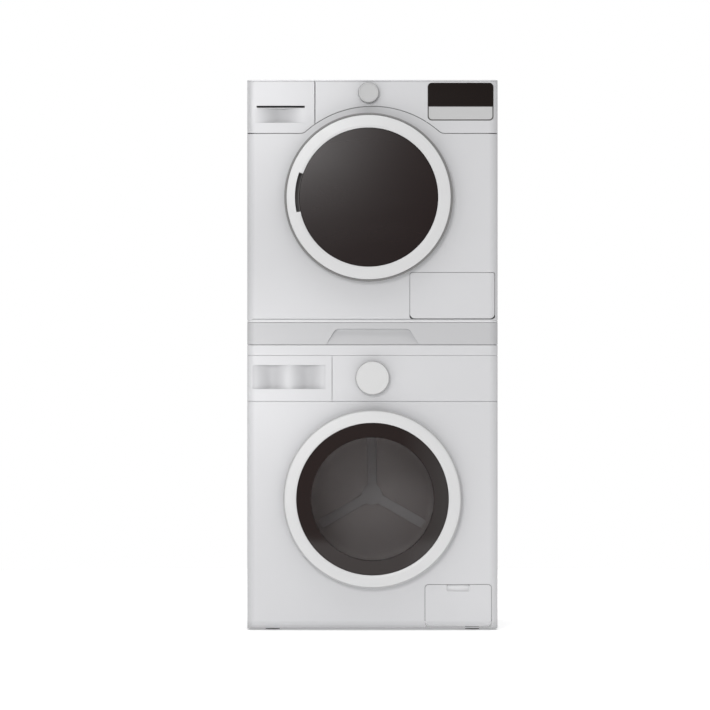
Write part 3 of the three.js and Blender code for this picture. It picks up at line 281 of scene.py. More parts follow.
# ---- Materials -------------------------------------------------------------------------------------
class Nodes:
    """A new material's node tree with short calls for the nodes used here."""

    def __init__(self, name, roughness, metallic=0.0, specular=0.5):
        self.material = bpy.data.materials.new(name)
        self.material.use_nodes = True
        self.tree = self.material.node_tree
        self.shader = self.tree.nodes["Principled BSDF"]
        self.shader.inputs["Roughness"].default_value = roughness
        self.shader.inputs["Metallic"].default_value = metallic
        self.shader.inputs["Specular IOR Level"].default_value = specular
        self.place = self.tree.nodes.new("ShaderNodeTexCoord").outputs["Object"]

    def link(self, output, target):
        self.tree.links.new(output, target)

    def stretched(self, scale):
        mapping = self.tree.nodes.new("ShaderNodeMapping")
        mapping.inputs["Scale"].default_value = scale
        self.link(self.place, mapping.inputs["Vector"])
        return mapping.outputs["Vector"]

    def noise(self, scale, detail=2.0, roughness=0.5, vector=None):
        node = self.tree.nodes.new("ShaderNodeTexNoise")
        node.inputs["Scale"].default_value = scale
        node.inputs["Detail"].default_value = detail
        node.inputs["Roughness"].default_value = roughness
        self.link(vector or self.place, node.inputs["Vector"])
        return node.outputs["Fac"]

    def ramp(self, factor, stops):
        node = self.tree.nodes.new("ShaderNodeValToRGB")
        elements = node.color_ramp.elements
        while len(elements) < len(stops):
            elements.new(0.5)
        for element, (position, color) in zip(elements, stops):
            element.position = position
            element.color = (*color, 1) if len(color) == 3 else color
        self.link(factor, node.inputs["Fac"])
        return node.outputs["Color"]

    def math(self, operation, a, b=0.0):
        node = self.tree.nodes.new("ShaderNodeMath")
        node.operation = operation
        for socket, value in zip(node.inputs, (a, b)):
            if isinstance(value, (int, float)):
                socket.default_value = value
            else:
                self.link(value, socket)
        return node.outputs["Value"]

    def remap(self, value, low, high, to_low, to_high):
        node = self.tree.nodes.new("ShaderNodeMapRange")
        node.inputs["From Min"].default_value = low
        node.inputs["From Max"].default_value = high
        node.inputs["To Min"].default_value = to_low
        node.inputs["To Max"].default_value = to_high
        self.link(value, node.inputs["Value"])
        return node.outputs["Result"]

    def split(self):
        node = self.tree.nodes.new("ShaderNodeSeparateXYZ")
        self.link(self.place, node.inputs["Vector"])
        return node.outputs

    def distance(self, place):
        """Distance from a line along Y through the place."""
        split = self.split()
        across = self.math("SUBTRACT", split["X"], place.x)
        upward = self.math("SUBTRACT", split["Z"], place.z)
        squares = (self.math("MULTIPLY", across, across), self.math("MULTIPLY", upward, upward))
        return self.math("SQRT", self.math("ADD", *squares))

    def edge_shade(self, color):
        """A little less light on the fronts' outer edges and at the foot of the stack."""
        split = self.split()
        across = self.math("ABSOLUTE", split["X"], 0.0)
        side = self.remap(across, SIDE - 0.020, SIDE - 0.001, 1.0, 0.87)
        foot = self.remap(split["Z"], 0.004, 0.024, 0.76, 1.0)
        return self.scaled(color, self.math("MULTIPLY", side, foot))

    def scaled(self, color, factor):
        node = self.tree.nodes.new("ShaderNodeVectorMath")
        node.operation = "SCALE"
        self.link(color, node.inputs["Vector"])
        self.link(factor, node.inputs["Scale"])
        return node.outputs["Vector"]

    def bump(self, *layers):
        """Layers of (height output, strength, distance)."""
        previous = None
        for height, strength, distance in layers:
            node = self.tree.nodes.new("ShaderNodeBump")
            node.inputs["Strength"].default_value = strength
            node.inputs["Distance"].default_value = distance
            self.link(height, node.inputs["Height"])
            if previous:
                self.link(previous, node.inputs["Normal"])
            previous = node.outputs["Normal"]
        self.link(previous, self.shader.inputs["Normal"])

    def color(self, output):
        self.link(output, self.shader.inputs["Base Color"])

    def tones(self, factor, color, low, high, start=0.3, end=0.7):
        """Color that drifts between two shades of itself."""
        return self.ramp(factor, [(start, shaded(color, low)), (end, shaded(color, high))])

    def gloss(self, factor, roughness, less, more, start=0.3):
        """Roughness that drifts round a value."""
        drift = self.remap(factor, start, 1 - start, roughness - less, roughness + more)
        self.link(drift, self.shader.inputs["Roughness"])


def shaded(color, amount):
    return tuple(channel * amount for channel in color)


def painted(name, color, roughness=0.42):
    """Sprayed and stoved enamel: a faint orange peel, and a tone that drifts by one part in a hundred."""
    nodes = Nodes(name, roughness, specular=0.35)
    nodes.color(nodes.edge_shade(nodes.tones(nodes.noise(3.0, 3), color, 0.988, 1.0)))
    nodes.gloss(nodes.noise(22.0, 4), roughness, 0.03, 0.04)
    nodes.bump((nodes.noise(420.0, 2), 0.05, 0.0004), (nodes.noise(60.0, 2), 0.02, 0.002))
    return nodes.material


def moulded(name, color, roughness=0.42, grain=1500.0, depth=0.10, recess=None, rim=None):
    """Injection-moulded plastic with a fine spark-eroded grain.

    A recess (amount, depth, x0, x1) gets painted shade, darker the deeper it lies behind the front; a rim
    (place, radius, width, amount) is painted shade too, a darker line round the outer edge of a round piece."""
    nodes = Nodes(name, roughness, specular=0.35)
    drift = nodes.noise(5.0, 2)
    speck = nodes.noise(grain * 0.7, 1)
    tone = nodes.math("ADD", nodes.math("MULTIPLY", drift, 0.8), nodes.math("MULTIPLY", speck, 0.2))
    shade = nodes.tones(tone, color, 0.982, 1.0, 0.35, 0.65)
    if recess:
        # painted shade in the recess: darker the deeper the surface lies behind the front
        amount, reach, x0, x1 = recess
        split = nodes.split()
        painted_recess_shade = nodes.remap(split["Y"], FRONT + 0.0003, FRONT + reach, 0.0, amount)
        inside = nodes.math("MULTIPLY", nodes.remap(split["X"], x0 - 0.006, x0, 0.0, 1.0),
                            nodes.remap(split["X"], x1, x1 + 0.006, 1.0, 0.0))
        shade = nodes.scaled(shade, nodes.math("SUBTRACT", 1.0, nodes.math("MULTIPLY", painted_recess_shade, inside)))
    if rim:
        # painted shade: a darker line just inside the outer radius, where the rounded edge turns from the
        # light
        place, radius, width, amount = rim
        reach = nodes.distance(place)
        line = nodes.remap(reach, radius - width, radius - width * 0.6, 0.0, amount)
        shade = nodes.scaled(shade, nodes.math("SUBTRACT", 1.0, line))
    nodes.color(nodes.edge_shade(shade))
    nodes.gloss(nodes.noise(35.0, 3), roughness, 0.04, 0.05)
    nodes.bump((nodes.noise(grain, 2, 0.6), depth, 0.0002))
    return nodes.material


def polished(name, color, roughness=0.26):
    """Dark printed glass with faint wipe marks in its gloss."""
    nodes = Nodes(name, roughness, specular=0.28)
    smear = nodes.noise(5.0, 1, 0.5, nodes.stretched((1.0, 1.0, 3.0)))
    nodes.gloss(smear, roughness, 0.0, 0.02)
    nodes.color(nodes.tones(nodes.noise(3.0, 1), color, 1.0, 1.08))
    return nodes.material


def brushed(name, color, roughness, along=(18.0, 700.0, 18.0)):
    """Rolled steel with fine lines along the rolling and hardly any drift in its gloss."""
    nodes = Nodes(name, roughness, metallic=1.0)
    speck = nodes.noise(900.0, 1)
    nodes.color(nodes.tones(speck, color, 0.97, 1.0))
    nodes.gloss(nodes.noise(1.0, 3, 0.6, nodes.stretched(along)), roughness, 0.01, 0.01, 0.35)
    nodes.bump((speck, 0.03, 0.0001))
    return nodes.material


def cast(name, color, roughness=0.55):
    """Die-cast metal with a sandy skin."""
    nodes = Nodes(name, roughness, metallic=0.9)
    nodes.color(nodes.tones(nodes.noise(60.0, 5, 0.7), color, 0.8, 1.1, 0.3, 0.75))
    nodes.gloss(nodes.noise(160.0, 3), roughness, 0.1, 0.12)
    nodes.bump((nodes.noise(900.0, 3, 0.7), 0.35, 0.0004))
    return nodes.material


def rubbery(name, color, roughness=0.75):
    """Moulded rubber with a dusty bloom."""
    nodes = Nodes(name, roughness, specular=0.35)
    bloom = nodes.noise(30.0, 5, 0.65)
    nodes.color(nodes.tones(bloom, color, 1.0, 1.35, 0.35, 0.75))
    nodes.gloss(bloom, roughness, 0.12, 0.1)
    nodes.bump((nodes.noise(700.0, 3), 0.2, 0.0003))
    return nodes.material


def milky(name, color, roughness=0.35):
    """Translucent polypropylene."""
    nodes = Nodes(name, roughness)
    nodes.shader.inputs["Subsurface Weight"].default_value = 0.25
    nodes.shader.inputs["Subsurface Radius"].default_value = (0.01, 0.01, 0.012)
    nodes.color(nodes.tones(nodes.noise(14.0, 3), color, 0.95, 1.0))
    nodes.gloss(nodes.noise(50.0, 3), roughness, 0.05, 0.08)
    nodes.bump((nodes.noise(900.0, 2), 0.08, 0.0002))
    return nodes.material


def tinted(name, color, alpha, centre=None, clear_radius=0.0, border=None, lit_border=None):
    """Tinted glass. With a centre, everything outside the clear radius is an opaque printed border,
    with painted light that makes it lighter towards its right-hand side."""
    nodes = Nodes(name, 0.05, specular=0.45)
    nodes.gloss(nodes.noise(4.0, 1), 0.05, 0.0, 0.03)
    if centre is None:
        nodes.color(nodes.tones(nodes.noise(5.0, 2), color, 1.0, 1.1))
        nodes.shader.inputs["Alpha"].default_value = alpha
        return nodes.material
    blur = 0.0006
    outside = nodes.remap(nodes.distance(centre), clear_radius - blur, clear_radius + blur, 0.0, 1.0)
    # painted light: the border grows lighter towards the right, as if lit there
    right = nodes.remap(nodes.split()["X"], centre.x + 0.07, centre.x + 0.17, 0.5, 1.0)
    tone = nodes.math("MULTIPLY", outside, right)
    nodes.color(nodes.ramp(tone, [(0.0, color), (0.5, border), (1.0, lit_border)]))
    nodes.link(nodes.remap(outside, 0.0, 1.0, alpha, 1.0), nodes.shader.inputs["Alpha"])
    return nodes.material


# Place, radius and width of a round piece's painted shade line, and how dark it is.
def painted_rim_shade(node, width, amount):
    return centre_of(node), radius_of(node), width, amount


BODY_TONE = (0.655, 0.655, 0.668)
RING_TONE = (0.682, 0.682, 0.685)
FINE_GRAIN = (2200.0, 0.04)
ENAMEL = painted("enamel", (0.650, 0.650, 0.663))
MOULDING = moulded("moulding", BODY_TONE)
# painted shade in the drawer's and the container's finger recesses
DRAWER_MOULDING = moulded("drawer_moulding", BODY_TONE, recess=(0.20, 0.018, -0.288, -0.110))
CONTAINER_MOULDING = moulded("container_moulding", BODY_TONE, recess=(0.30, 0.012, -0.292, -0.150))
# painted shade round the outer edge of the washer's ring and of both knobs
washer_rim_shade = painted_rim_shade("washer_door_ring", 0.0045, 0.36)
WASHER_RING = moulded("washer_ring_white", RING_TONE, 0.32, *FINE_GRAIN, rim=washer_rim_shade)
DRYER_RING = moulded("dryer_ring_white", RING_TONE, 0.32, *FINE_GRAIN)
knob_rim_shade = painted_rim_shade("washer_knob", 0.0034, 0.36)
WASHER_KNOB = moulded("washer_knob_white", (0.655, 0.655, 0.655), 0.34, *FINE_GRAIN, rim=knob_rim_shade)
knob_rim_shade = painted_rim_shade("dryer_knob", 0.0030, 0.34)
DRYER_KNOB = moulded("dryer_knob_grey", (0.505, 0.505, 0.507), 0.34, *FINE_GRAIN, rim=knob_rim_shade)
SHELF_GREY = moulded("shelf_grey", (0.545, 0.545, 0.555))
# light grey of the stacking frame, set lighter still to offset the shade under the dryer: partly painted
# light
SHELF_LIGHT = moulded("kit_frame_grey", (0.740, 0.740, 0.750))
# painted light: far lighter than the body, so that the shaded cup behind the flap's notch reads as body tone
CUP_PAINTED_LIGHT = moulded("notch_painted_light", (0.88, 0.88, 0.89))
STRIP_GREY = moulded("touch_strip_grey", (0.56, 0.56, 0.56))
# painted shade: a dark grey for strips behind seams, so that every seam reads as a shaded line
SEAM_SHADE = moulded("seam_painted_shade", (0.30, 0.30, 0.305), roughness=0.6)
TRIM_GREY = moulded("trim_grey", (0.205, 0.202, 0.200), roughness=0.34)
BEZEL_GREY = moulded("bezel_grey", (0.090, 0.085, 0.083), roughness=0.34)
DARK_GLASS = polished("dark_glass", (0.008, 0.002, 0.0015))
DISPLAY_GLASS = polished("display_glass", (0.006, 0.002, 0.001), 0.12)
GRIP_DARK = moulded("grip_dark", (0.088, 0.081, 0.079), roughness=0.45)
DARK_PLASTIC = moulded("dark_plastic", (0.030, 0.024, 0.022), roughness=0.45)
STEEL = brushed("drum_steel", (0.61, 0.572, 0.566), roughness=0.34)
STAR_STEEL = brushed("star_steel", (0.93, 0.92, 0.93), roughness=0.50)
BRIGHT_STEEL = brushed("bright_steel", (0.66, 0.66, 0.65), roughness=0.22, along=(900.0, 900.0, 20.0))
CAST = cast("cast_aluminium", (0.50, 0.51, 0.52))
SEAL_RUBBER = rubbery("seal_rubber", (0.150, 0.146, 0.143))
BELT_RUBBER = rubbery("belt_rubber", (0.025, 0.024, 0.024))
INNER = moulded("inner_polypropylene", (0.42, 0.435, 0.44), roughness=0.5, grain=600.0)
TANK = milky("tank_polypropylene", (0.74, 0.77, 0.78))

SLOT_MATERIALS = {
    "enamel": ENAMEL, "moulding": MOULDING, "shelf_grey": SHELF_GREY, "door_ring": DRYER_RING,
    "dark_glass": DARK_GLASS, "dark_plastic": DARK_PLASTIC, "rubber": BELT_RUBBER,
    "stainless": BRIGHT_STEEL, "cast_metal": CAST, "inner_plastic": INNER, "tank": TANK,
    "tinted_glass": DARK_GLASS,
}


# ---- Fronts ----------------------------------------------------------------------------------------
def front_plan(inset, rear, steps=12):
    """Plan of a front, inset from its outer face."""
    side = SIDE - inset
    edge = EDGE - inset
    face = FRONT + inset
    return rounded([(-side, rear), (-side, face, edge), (side, face, edge), (side, rear)], steps)


def front_block(inset, roll, bottom, top, rear):
    profile = rounded([
        (rear, bottom + inset),
        (FRONT + inset, bottom + inset, roll - inset),
        (FRONT + inset, top),
        (rear, top),
    ], 12)
    block = prism(front_plan(inset, rear), bottom - 0.001, top, "z")
    return common(block, prism(profile, -SIDE - PAST, SIDE + PAST, "x"))


def rolled_skin(roll, bottom, top):
    """Thin shell with rounded vertical edges, a rolled lower edge and short returns along the sides."""
    skin = front_block(0, roll, bottom, top, REAR)
    return cut(skin, front_block(WALL, roll, bottom, top + 0.001, REAR + 0.001))


def straight_skin(bottom, top):
    """The same without the rolled edge: open above and below."""
    plan = front_plan(0, REAR) + front_plan(WALL, REAR)[::-1]
    return prism(plan, bottom, top, "z")


def front_cut(points, depth=0.04):
    return prism(points, FRONT - 0.002, FRONT + depth)


def disc(radius, y0, y1, middle, sides=FINE):
    return prism(arc(middle.x, middle.z, radius, 0, 360 - 360 / sides, sides - 1), y0, y1)


def bore(radius, middle, sides=FINE, face=FRONT):
    return disc(radius, face - PAST, face + PAST, middle, sides)


def through(x0, x1, z0, z1):
    return box(x0, x1, FRONT - PAST, FRONT + PAST, z0, z1)


def between(x0, x1):
    """Everything of a front between two places across the stack."""
    return box(x0, x1, FRONT - PAST, REAR + PAST, 0, 2)


def flap_cut(low, high, grow, *corners):
    """Solid through the front in a flap's outline, with the lower and then the upper corners' radius.

    A flap's lower corners are rounder than its hole's, to pass them as it drops."""
    return front_cut(rectangle(low.x - grow, high.x + grow, low.z - grow, high.z + grow, *corners))


def flap_rebate(low, high, right, rise):
    """Strip behind the seam at a flap's top and sides; the rise keeps it clear of the turning foot."""
    ledge = 0.0035
    strip = box(low.x - 0.005, right, *GROOVE, low.z + rise, high.z + 0.005)
    return cut(strip, box(low.x + ledge, high.x - ledge, FRONT, FRONT + PAST, 0, high.z - ledge))


def scoops(x0, x1, z0, z1, shallow, swing, waves, steps):
    """Solid whose rear face waves across the front, shallow at its ends."""
    outline = [(x1, FRONT - 0.002), (x0, FRONT - 0.002)]
    for step in range(steps + 1):
        along = step / steps
        depth = shallow + swing * (0.5 - 0.5 * math.cos(2 * math.pi * waves * along))
        outline.append((x0 + (x1 - x0) * along, FRONT + depth))
    return prism(outline, z0, z1, "z")


def rebate(z0, z1, depth=0.0032):
    """Strip just behind a seam, so that the seam shows a shallow groove round the corners too."""
    strip = prism(front_plan(depth, FRONT + EDGE), z0, z1, "z")
    return cut(strip, prism(front_plan(depth + 0.0012, FRONT + EDGE + 0.001), z0 - 0.001, z1 + 0.001, "z"))


# ---- Doors -----------------------------------------------------------------------------------------
def door_ring(node, glass_node, outer, front_fillet=0.010):
    """White ring of a door: crowned face, rounded outer edge and a lip that holds the glass."""
    low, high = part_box(node)
    glass = radius_of(glass_node)
    front, back = low.y, high.y
    return lathe([
        (glass - 0.006, back),
        (glass - 0.006, front + 0.0098),
        (glass + 0.0002, front + 0.0098),
        (glass + 0.0002, front + 0.0016, 0.0012),
        (glass + 0.0060, front + 0.0001, 0.004),
        (outer, front + 0.0008, front_fillet),
        (outer, back, 0.005),
    ], centre_of(node), sides=192)


def crowned_pane(node, middle, fall, steps=16):
    """Glass disc whose face falls away gently from its centre to its rounded rim."""
    low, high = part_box(node)
    radius = radius_of(node)
    face = [(radius * step / steps, low.y + fall * (step / steps) ** 2) for step in range(steps)]
    face += [(radius, low.y + fall, 0.0012), (radius, high.y, 0.0005), (0, high.y)]
    return lathe(face, middle, sides=192)


def hinge_room(joint, middle_z, side):
    """Room inside a door that the hinge's arms sweep as it opens, as the CAD door has."""
    pin = joint_place(joint)
    clearance = 0.0025
    reach = 0.034
    opening = 120
    last = math.radians(90 + opening)
    fan = [(clearance, 0.0), (clearance, reach)] + arc(0, 0, reach, 90, 94 + opening, 16)
    fan.append((-clearance * math.sin(last), clearance * math.cos(last)))
    swept = [(pin.x - side * a, pin.y + b) for a, b in fan]
    barrel = arc(pin.x, pin.y, 0.0033, 0, 345, 23)
    knuckle = arc(pin.x, pin.y, 0.007, 0, 345, 23)
    room = prism(barrel, middle_z - 0.0465, middle_z + 0.0465, "z")
    for offset in HINGE_ARMS:
        low, high = middle_z + offset - 0.006, middle_z + offset + 0.006
        joined(room, prism(swept, low, high, "z"), prism(knuckle, low, high, "z"))
    return room


def joint_place(name):
    return Vector(next(joint for joint in frame["joints"] if joint["name"] == name)["pos_m"])


def door_openings(panel, middle, mouth, joint, latch_x, latch_z):
    """Cuts a door's mouth, the slots for its hinge's arms and the slot for its latch."""
    cut(panel, bore(mouth, middle))
    pin = joint_place(joint)
    for offset in HINGE_ARMS:
        z = middle.z + offset
        cut(panel, through(pin.x - 0.0025, pin.x + 0.0025, z - 0.0055, z + 0.0055))
    cut(panel, through(latch_x - 0.006, latch_x + 0.006, latch_z - 0.014, latch_z + 0.014))


# ---- Washer ----------------------------------------------------------------------------------------
def washer_front():
    lock = centre_of("washer_door_lock")
    low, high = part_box("washer_filter_flap")
    centre = (low.x + high.x) / 2
    top = panel_high.z + HAIR
    panel = rolled_skin(EDGE, panel_low.z, top)
    middle = centre_of("washer_door_ring")
    door_openings(panel, middle, 0.166, "washer_door_swing", lock.x - 0.002, lock.z)
    cut(panel, flap_cut(low, high, FLAP_GAP, 0.009))
    finish(soften(panel), "washer_front_panel_skin", ENAMEL, "enamel", "washer_front_panel")

    flap = common(rolled_skin(EDGE, panel_low.z, top), flap_cut(low, high, FLAP_GROW, 0.014, 0.0085))
    notch = rectangle(centre - 0.027, centre + 0.027, high.z - 0.0158, high.z + 0.02, 0.005)
    soften(cut(flap, front_cut(notch)), 0.0006)
    body = "filter_flap_body"
    finish(flap, "filter_flap_cover", MOULDING, "moulding", "washer_filter_flap", body=body)
    for index, x in enumerate((centre - 0.051, centre + 0.051)):
        y0, y1 = FRONT + WALL - 0.0004, FRONT + 0.009
        clip = box(x - 0.004, x + 0.004, y0, y1, high.z - 0.016, high.z - 0.0135)
        finish(soften(clip, 0.0004), f"filter_flap_clip_{index}", MOULDING, "moulding", body=body)

    # rebate behind the flap's edges and the cup behind its fingertip notch; the cup is painted light, far
    # lighter than the body to cancel the shade in the notch
    strip = flap_rebate(low, high, high.x + 0.0018, 0.022)
    cut(strip, through(centre - 0.026, centre + 0.026, high.z - 0.02, high.z - 0.001))
    # dark strip: painted shade in the seam round the flap
    finish(strip, "filter_flap_rebate", SEAM_SHADE, "enamel")
    y0, y1 = FRONT + 0.0031, FRONT + 0.0105
    cup = box(centre - 0.030, centre + 0.030, y0, y1, high.z - 0.021, high.z + 0.003)
    x0, x1 = centre - 0.0275, centre + 0.0275
    cut(cup, box(x0, x1, FRONT - PAST, FRONT + 0.0088, high.z - 0.0185, high.z + 0.0008))
    finish(soften(cup, 0.0008), "filter_flap_cup", CUP_PAINTED_LIGHT, "enamel")


def washer_controls():
    low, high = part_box("washer_fascia")
    bottom, top = low.z - HAIR, high.z + HAIR
    fascia = common(straight_skin(bottom, top), between(low.x - HAIR, SIDE + PAST))
    cut(fascia, bore(0.006, centre_of("washer_knob"), 32))
    finish(soften(fascia), "washer_fascia_skin", MOULDING, "moulding", "washer_fascia")

    # drawer front with two upright scoops in which the fingers pull
    node = "detergent_drawer_front"
    low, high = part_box(node)
    front = common(straight_skin(bottom, top), between(-SIDE - PAST, high.x + HAIR))
    x0, x1 = low.x + 0.0138, high.x - 0.0150
    z0, z1 = bottom + 0.0292, bottom + 0.0865
    rim = 0.004
    joined(front, box(x0 - rim, x1 + rim, FRONT + 0.001, FRONT + 0.023, z0 - rim, z1 + rim))
    cut(front, scoops(x0, x1, z0, z1, 0.0042, 0.0145, 2, 64))
    soften(front, 0.0006)
    finish(front, "drawer_front_skin", DRAWER_MOULDING, "moulding", node, body="detergent_drawer")

    turn_knob("washer_knob", WASHER_KNOB, "door_ring")
    turn_knob("dryer_knob", DRYER_KNOB, "shelf_grey")
    finish(rebate(bottom - 0.006, bottom + 0.005), "fascia_rebate", MOULDING, "moulding")
    low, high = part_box("washer_worktop")
    worktop = soften(prism(front_plan(0, BACK), low.z - HAIR, high.z, "z"), 0.0022, 4)
    finish(worktop, "worktop_slab", MOULDING, "moulding", "washer_worktop")
    finish(rebate(top - 0.005, top + 0.0006), "worktop_rebate", MOULDING, "moulding")


def turn_knob(node, material, slot):
    """Knob with a dished face, a rounded rim, ribs round its side and a shaft."""
    low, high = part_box(node)
    radius = radius_of(node)
    cap = lathe([
        (0, low.y + 0.0012),
        (radius - 0.0060, low.y + 0.0008, 0.004),
        (radius - 0.0036, low.y, 0.0012),
        (radius - 0.0014, low.y + 0.0004, 0.0012),
        (radius, low.y + 0.0060, 0.002),
        (radius, FRONT - 0.0010, 0.0006),
        (0.0045, FRONT - 0.0010),
        (0.0045, high.y),
        (0, high.y),
    ], centre_of(node), sides=288, ribs=72, rib_depth=0.0005, rib_from=radius - 0.0008)
    finish(cap, f"{node}_cap", material, slot, node, body=f"{node}_body", smooth=50)


def washer_door():
    middle = centre_of("washer_door_ring")
    body = "washer_door"
    ring = door_ring("washer_door_ring", "washer_door_glass", radius_of("washer_door_ring"))
    cut(ring, hinge_room("washer_door_swing", middle.z, -1))
    finish(ring, "washer_ring", WASHER_RING, "door_ring", "washer_door_ring", body=body, smooth=40)

    # the printed border's dark tone and its painted-light tone
    border, lit_border = (0.011, 0.004, 0.003), (0.036, 0.031, 0.030)
    glass = tinted("washer_glass", (0.020, 0.012, 0.011), 0.27, middle, 0.1475, border, lit_border)
    node = "washer_door_glass"
    pane = crowned_pane(node, middle, 0.0030)
    finish(pane, "washer_glass_pane", glass, "tinted_glass", node, body=body, smooth=40)

    glass_radius = radius_of(node)
    bowl_low, bowl_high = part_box("washer_door_bowl")
    inner = 0.147
    depth = bowl_high.y
    back = bowl_low.y + 0.004
    bowl = lathe([
        (0, depth),
        (inner - 0.017, depth, 0.022),
        (inner - 0.007, depth - 0.020, 0.03),
        (inner, back, 0.001),
        (glass_radius - 0.008, back, 0.001),
        (glass_radius - 0.008, bowl_low.y, 0.001),
        (inner - 0.005, bowl_low.y, 0.003),
        (inner - 0.012, depth - 0.022, 0.028),
        (inner - 0.024, depth - 0.005, 0.015),
        (0, depth - 0.005),
    ], middle, sides=160)
    clear = tinted("bowl_glass", (0.20, 0.19, 0.185), 0.10)
    finish(bowl, "washer_glass_bowl", clear, "tinted_glass", "washer_door_bowl", body=body, smooth=40)


def washer_mouth():
    """Folded seal, drum with its star and lifters, and dark discs, painted shade, that stand for the holes
    in its wall.
    """
    middle = centre_of("washer_door_ring")
    low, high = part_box("washer_door_seal")
    lip = 0.152
    seal = lathe([
        (lip, low.y + 0.0030, 0.0025),
        (lip + 0.010, low.y + 0.0006, 0.003),
        (lip + 0.0195, low.y, 0.001),
        (lip + 0.0195, low.y + 0.005, 0.001),
        (lip + 0.010, low.y + 0.009, 0.003),
        (lip + 0.012, low.y + 0.024, 0.004),
        (lip + 0.018, low.y + 0.032, 0.004),
        (lip + 0.012, low.y + 0.042, 0.004),
        (lip + 0.014, high.y - 0.010, 0.003),
        (lip + 0.0235, high.y - 0.008, 0.001),
        (lip + 0.0235, high.y, 0.001),
        (lip + 0.002, high.y, 0.003),
        (lip + 0.006, high.y - 0.018, 0.004),
        (lip + 0.001, high.y - 0.026, 0.004),
        (lip + 0.008, low.y + 0.032, 0.004),
        (lip, low.y + 0.022, 0.004),
        (lip + 0.005, low.y + 0.012, 0.004),
    ], middle, sides=160, steps=4)
    finish(seal, "washer_seal_folds", SEAL_RUBBER, "rubber", "washer_door_seal", smooth=50)

    drum_low, drum_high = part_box("washer_drum")
    radius = radius_of("washer_drum")
    front, back = drum_low.y, drum_high.y
    wall = 0.002
    mouth = 0.156
    shell = lathe([
        (0, back - wall),
        (radius - wall, back - wall, 0.014),
        (radius - wall, front + wall, 0.010),
        (mouth + 0.004, front + wall, 0.002),
        (mouth, front + 0.006, 0.002),
        (mouth, front, 0.002),
        (radius, front, 0.012),
        (radius, back, 0.016),
        (0, back),
    ], middle, sides=160)
    finish(shell, "washer_drum_shell", STEEL, "stainless", "washer_drum", smooth=45, body="washer_drum_body")

    half = 0.0115  # of an arm's width
    tip = 0.146
    corners = []
    for degrees in (90, 210, 330):
        out = Vector((math.cos(math.radians(degrees)), math.sin(math.radians(degrees))))
        across = Vector((-out.y, out.x))
        turned = math.radians(degrees + 60)
        for point, fillet in (
            (out * tip - across * half, 0.006),
            (out * tip + across * half, 0.006),
            (Vector((math.cos(turned), math.sin(turned))) * half / math.sin(math.radians(60)), 0.022),
        ):
            corners.append((middle.x + point.x, middle.z + point.y, fillet))
    plate = (back - wall - 0.0050, back - wall + 0.0005)
    star = joined(prism(rounded(corners), *plate), disc(0.0255, *plate, middle, 64))
    soften(star, 0.0022, 4)
    finish(star, "washer_drum_star", STAR_STEEL, "stainless", smooth=60, body="washer_drum_body")

    lifters("washer", middle, radius - wall, front + 0.020, back - 0.020, (60, 180, 300), 0.044)
    # dark discs: painted shade in place of the drum's holes
    holes = perforations(middle, radius - wall - 0.0003, front + 0.024, back - 0.020, 84, 14)
    finish(holes, "washer_drum_hole_shade", DARK_PLASTIC, "dark_plastic", body="washer_drum_body")


def spoke(angle):
    """Directions outward and sideways, at an angle clockwise from the top."""
    out = Vector((math.sin(angle), math.cos(angle)))
    return out, Vector((out.y, -out.x))


def lifters(machine, middle, radius, y0, y1, angles, height):
    """Paddles along a drum's wall, with rounded crests and tapered ends."""
    half = 0.030  # of a paddle's width
    for number, degrees in enumerate(angles, 1):
        out, across = spoke(math.radians(degrees))
        bm = bmesh.new()
        rows = []
        for step in range(25):
            along = step / 24
            taper = min(1.0, math.sin(math.pi * along) * 2.6)
            y = y0 + (y1 - y0) * along
            row = []
            for side in range(13):
                spread = side / 6 - 1
                crest = height * taper * (0.5 + 0.5 * math.cos(math.pi * spread)) ** 0.8
                reach = math.sqrt(radius ** 2 - (spread * half) ** 2) - 0.0006 - crest
                point = out * reach + across * spread * half
                row.append(bm.verts.new((middle.x + point.x, y, middle.z + point.y)))
            rows.append(row)
        for lower, upper in zip(rows, rows[1:]):
            for side in range(12):
                bm.faces.new((lower[side], lower[side + 1], upper[side + 1], upper[side]))
        edge = rows[0] + [row[-1] for row in rows[1:]]
        edge += rows[-1][-2::-1] + [row[0] for row in rows[-2:0:-1]]
        bm.faces.new(edge)
        name = f"{machine}_lifter_{number}"
        finish(from_bmesh(bm), name, INNER, "inner_plastic", body=f"{machine}_drum_body", smooth=60)


def perforations(middle, radius, y0, y1, around, along):
    """Dark discs in staggered rows just inside a drum's wall, as one piece: painted shade that stands for
    its holes, which are not cut.
    """
    bm = bmesh.new()
    hole = 0.0021
    for row in range(along):
        y = y0 + (y1 - y0) * (row + 0.5) / along
        for column in range(around):
            out, across = spoke(2 * math.pi * (column + 0.5 * (row % 2)) / around)
            ring = []
            for corner in range(8):
                angle = 2 * math.pi * corner / 8
                point = out * radius + across * hole * math.cos(angle)
                place = (middle.x + point.x, y + hole * math.sin(angle), middle.z + point.y)
                ring.append(bm.verts.new(place))
            bm.faces.new(ring)
    return from_bmesh(bm)


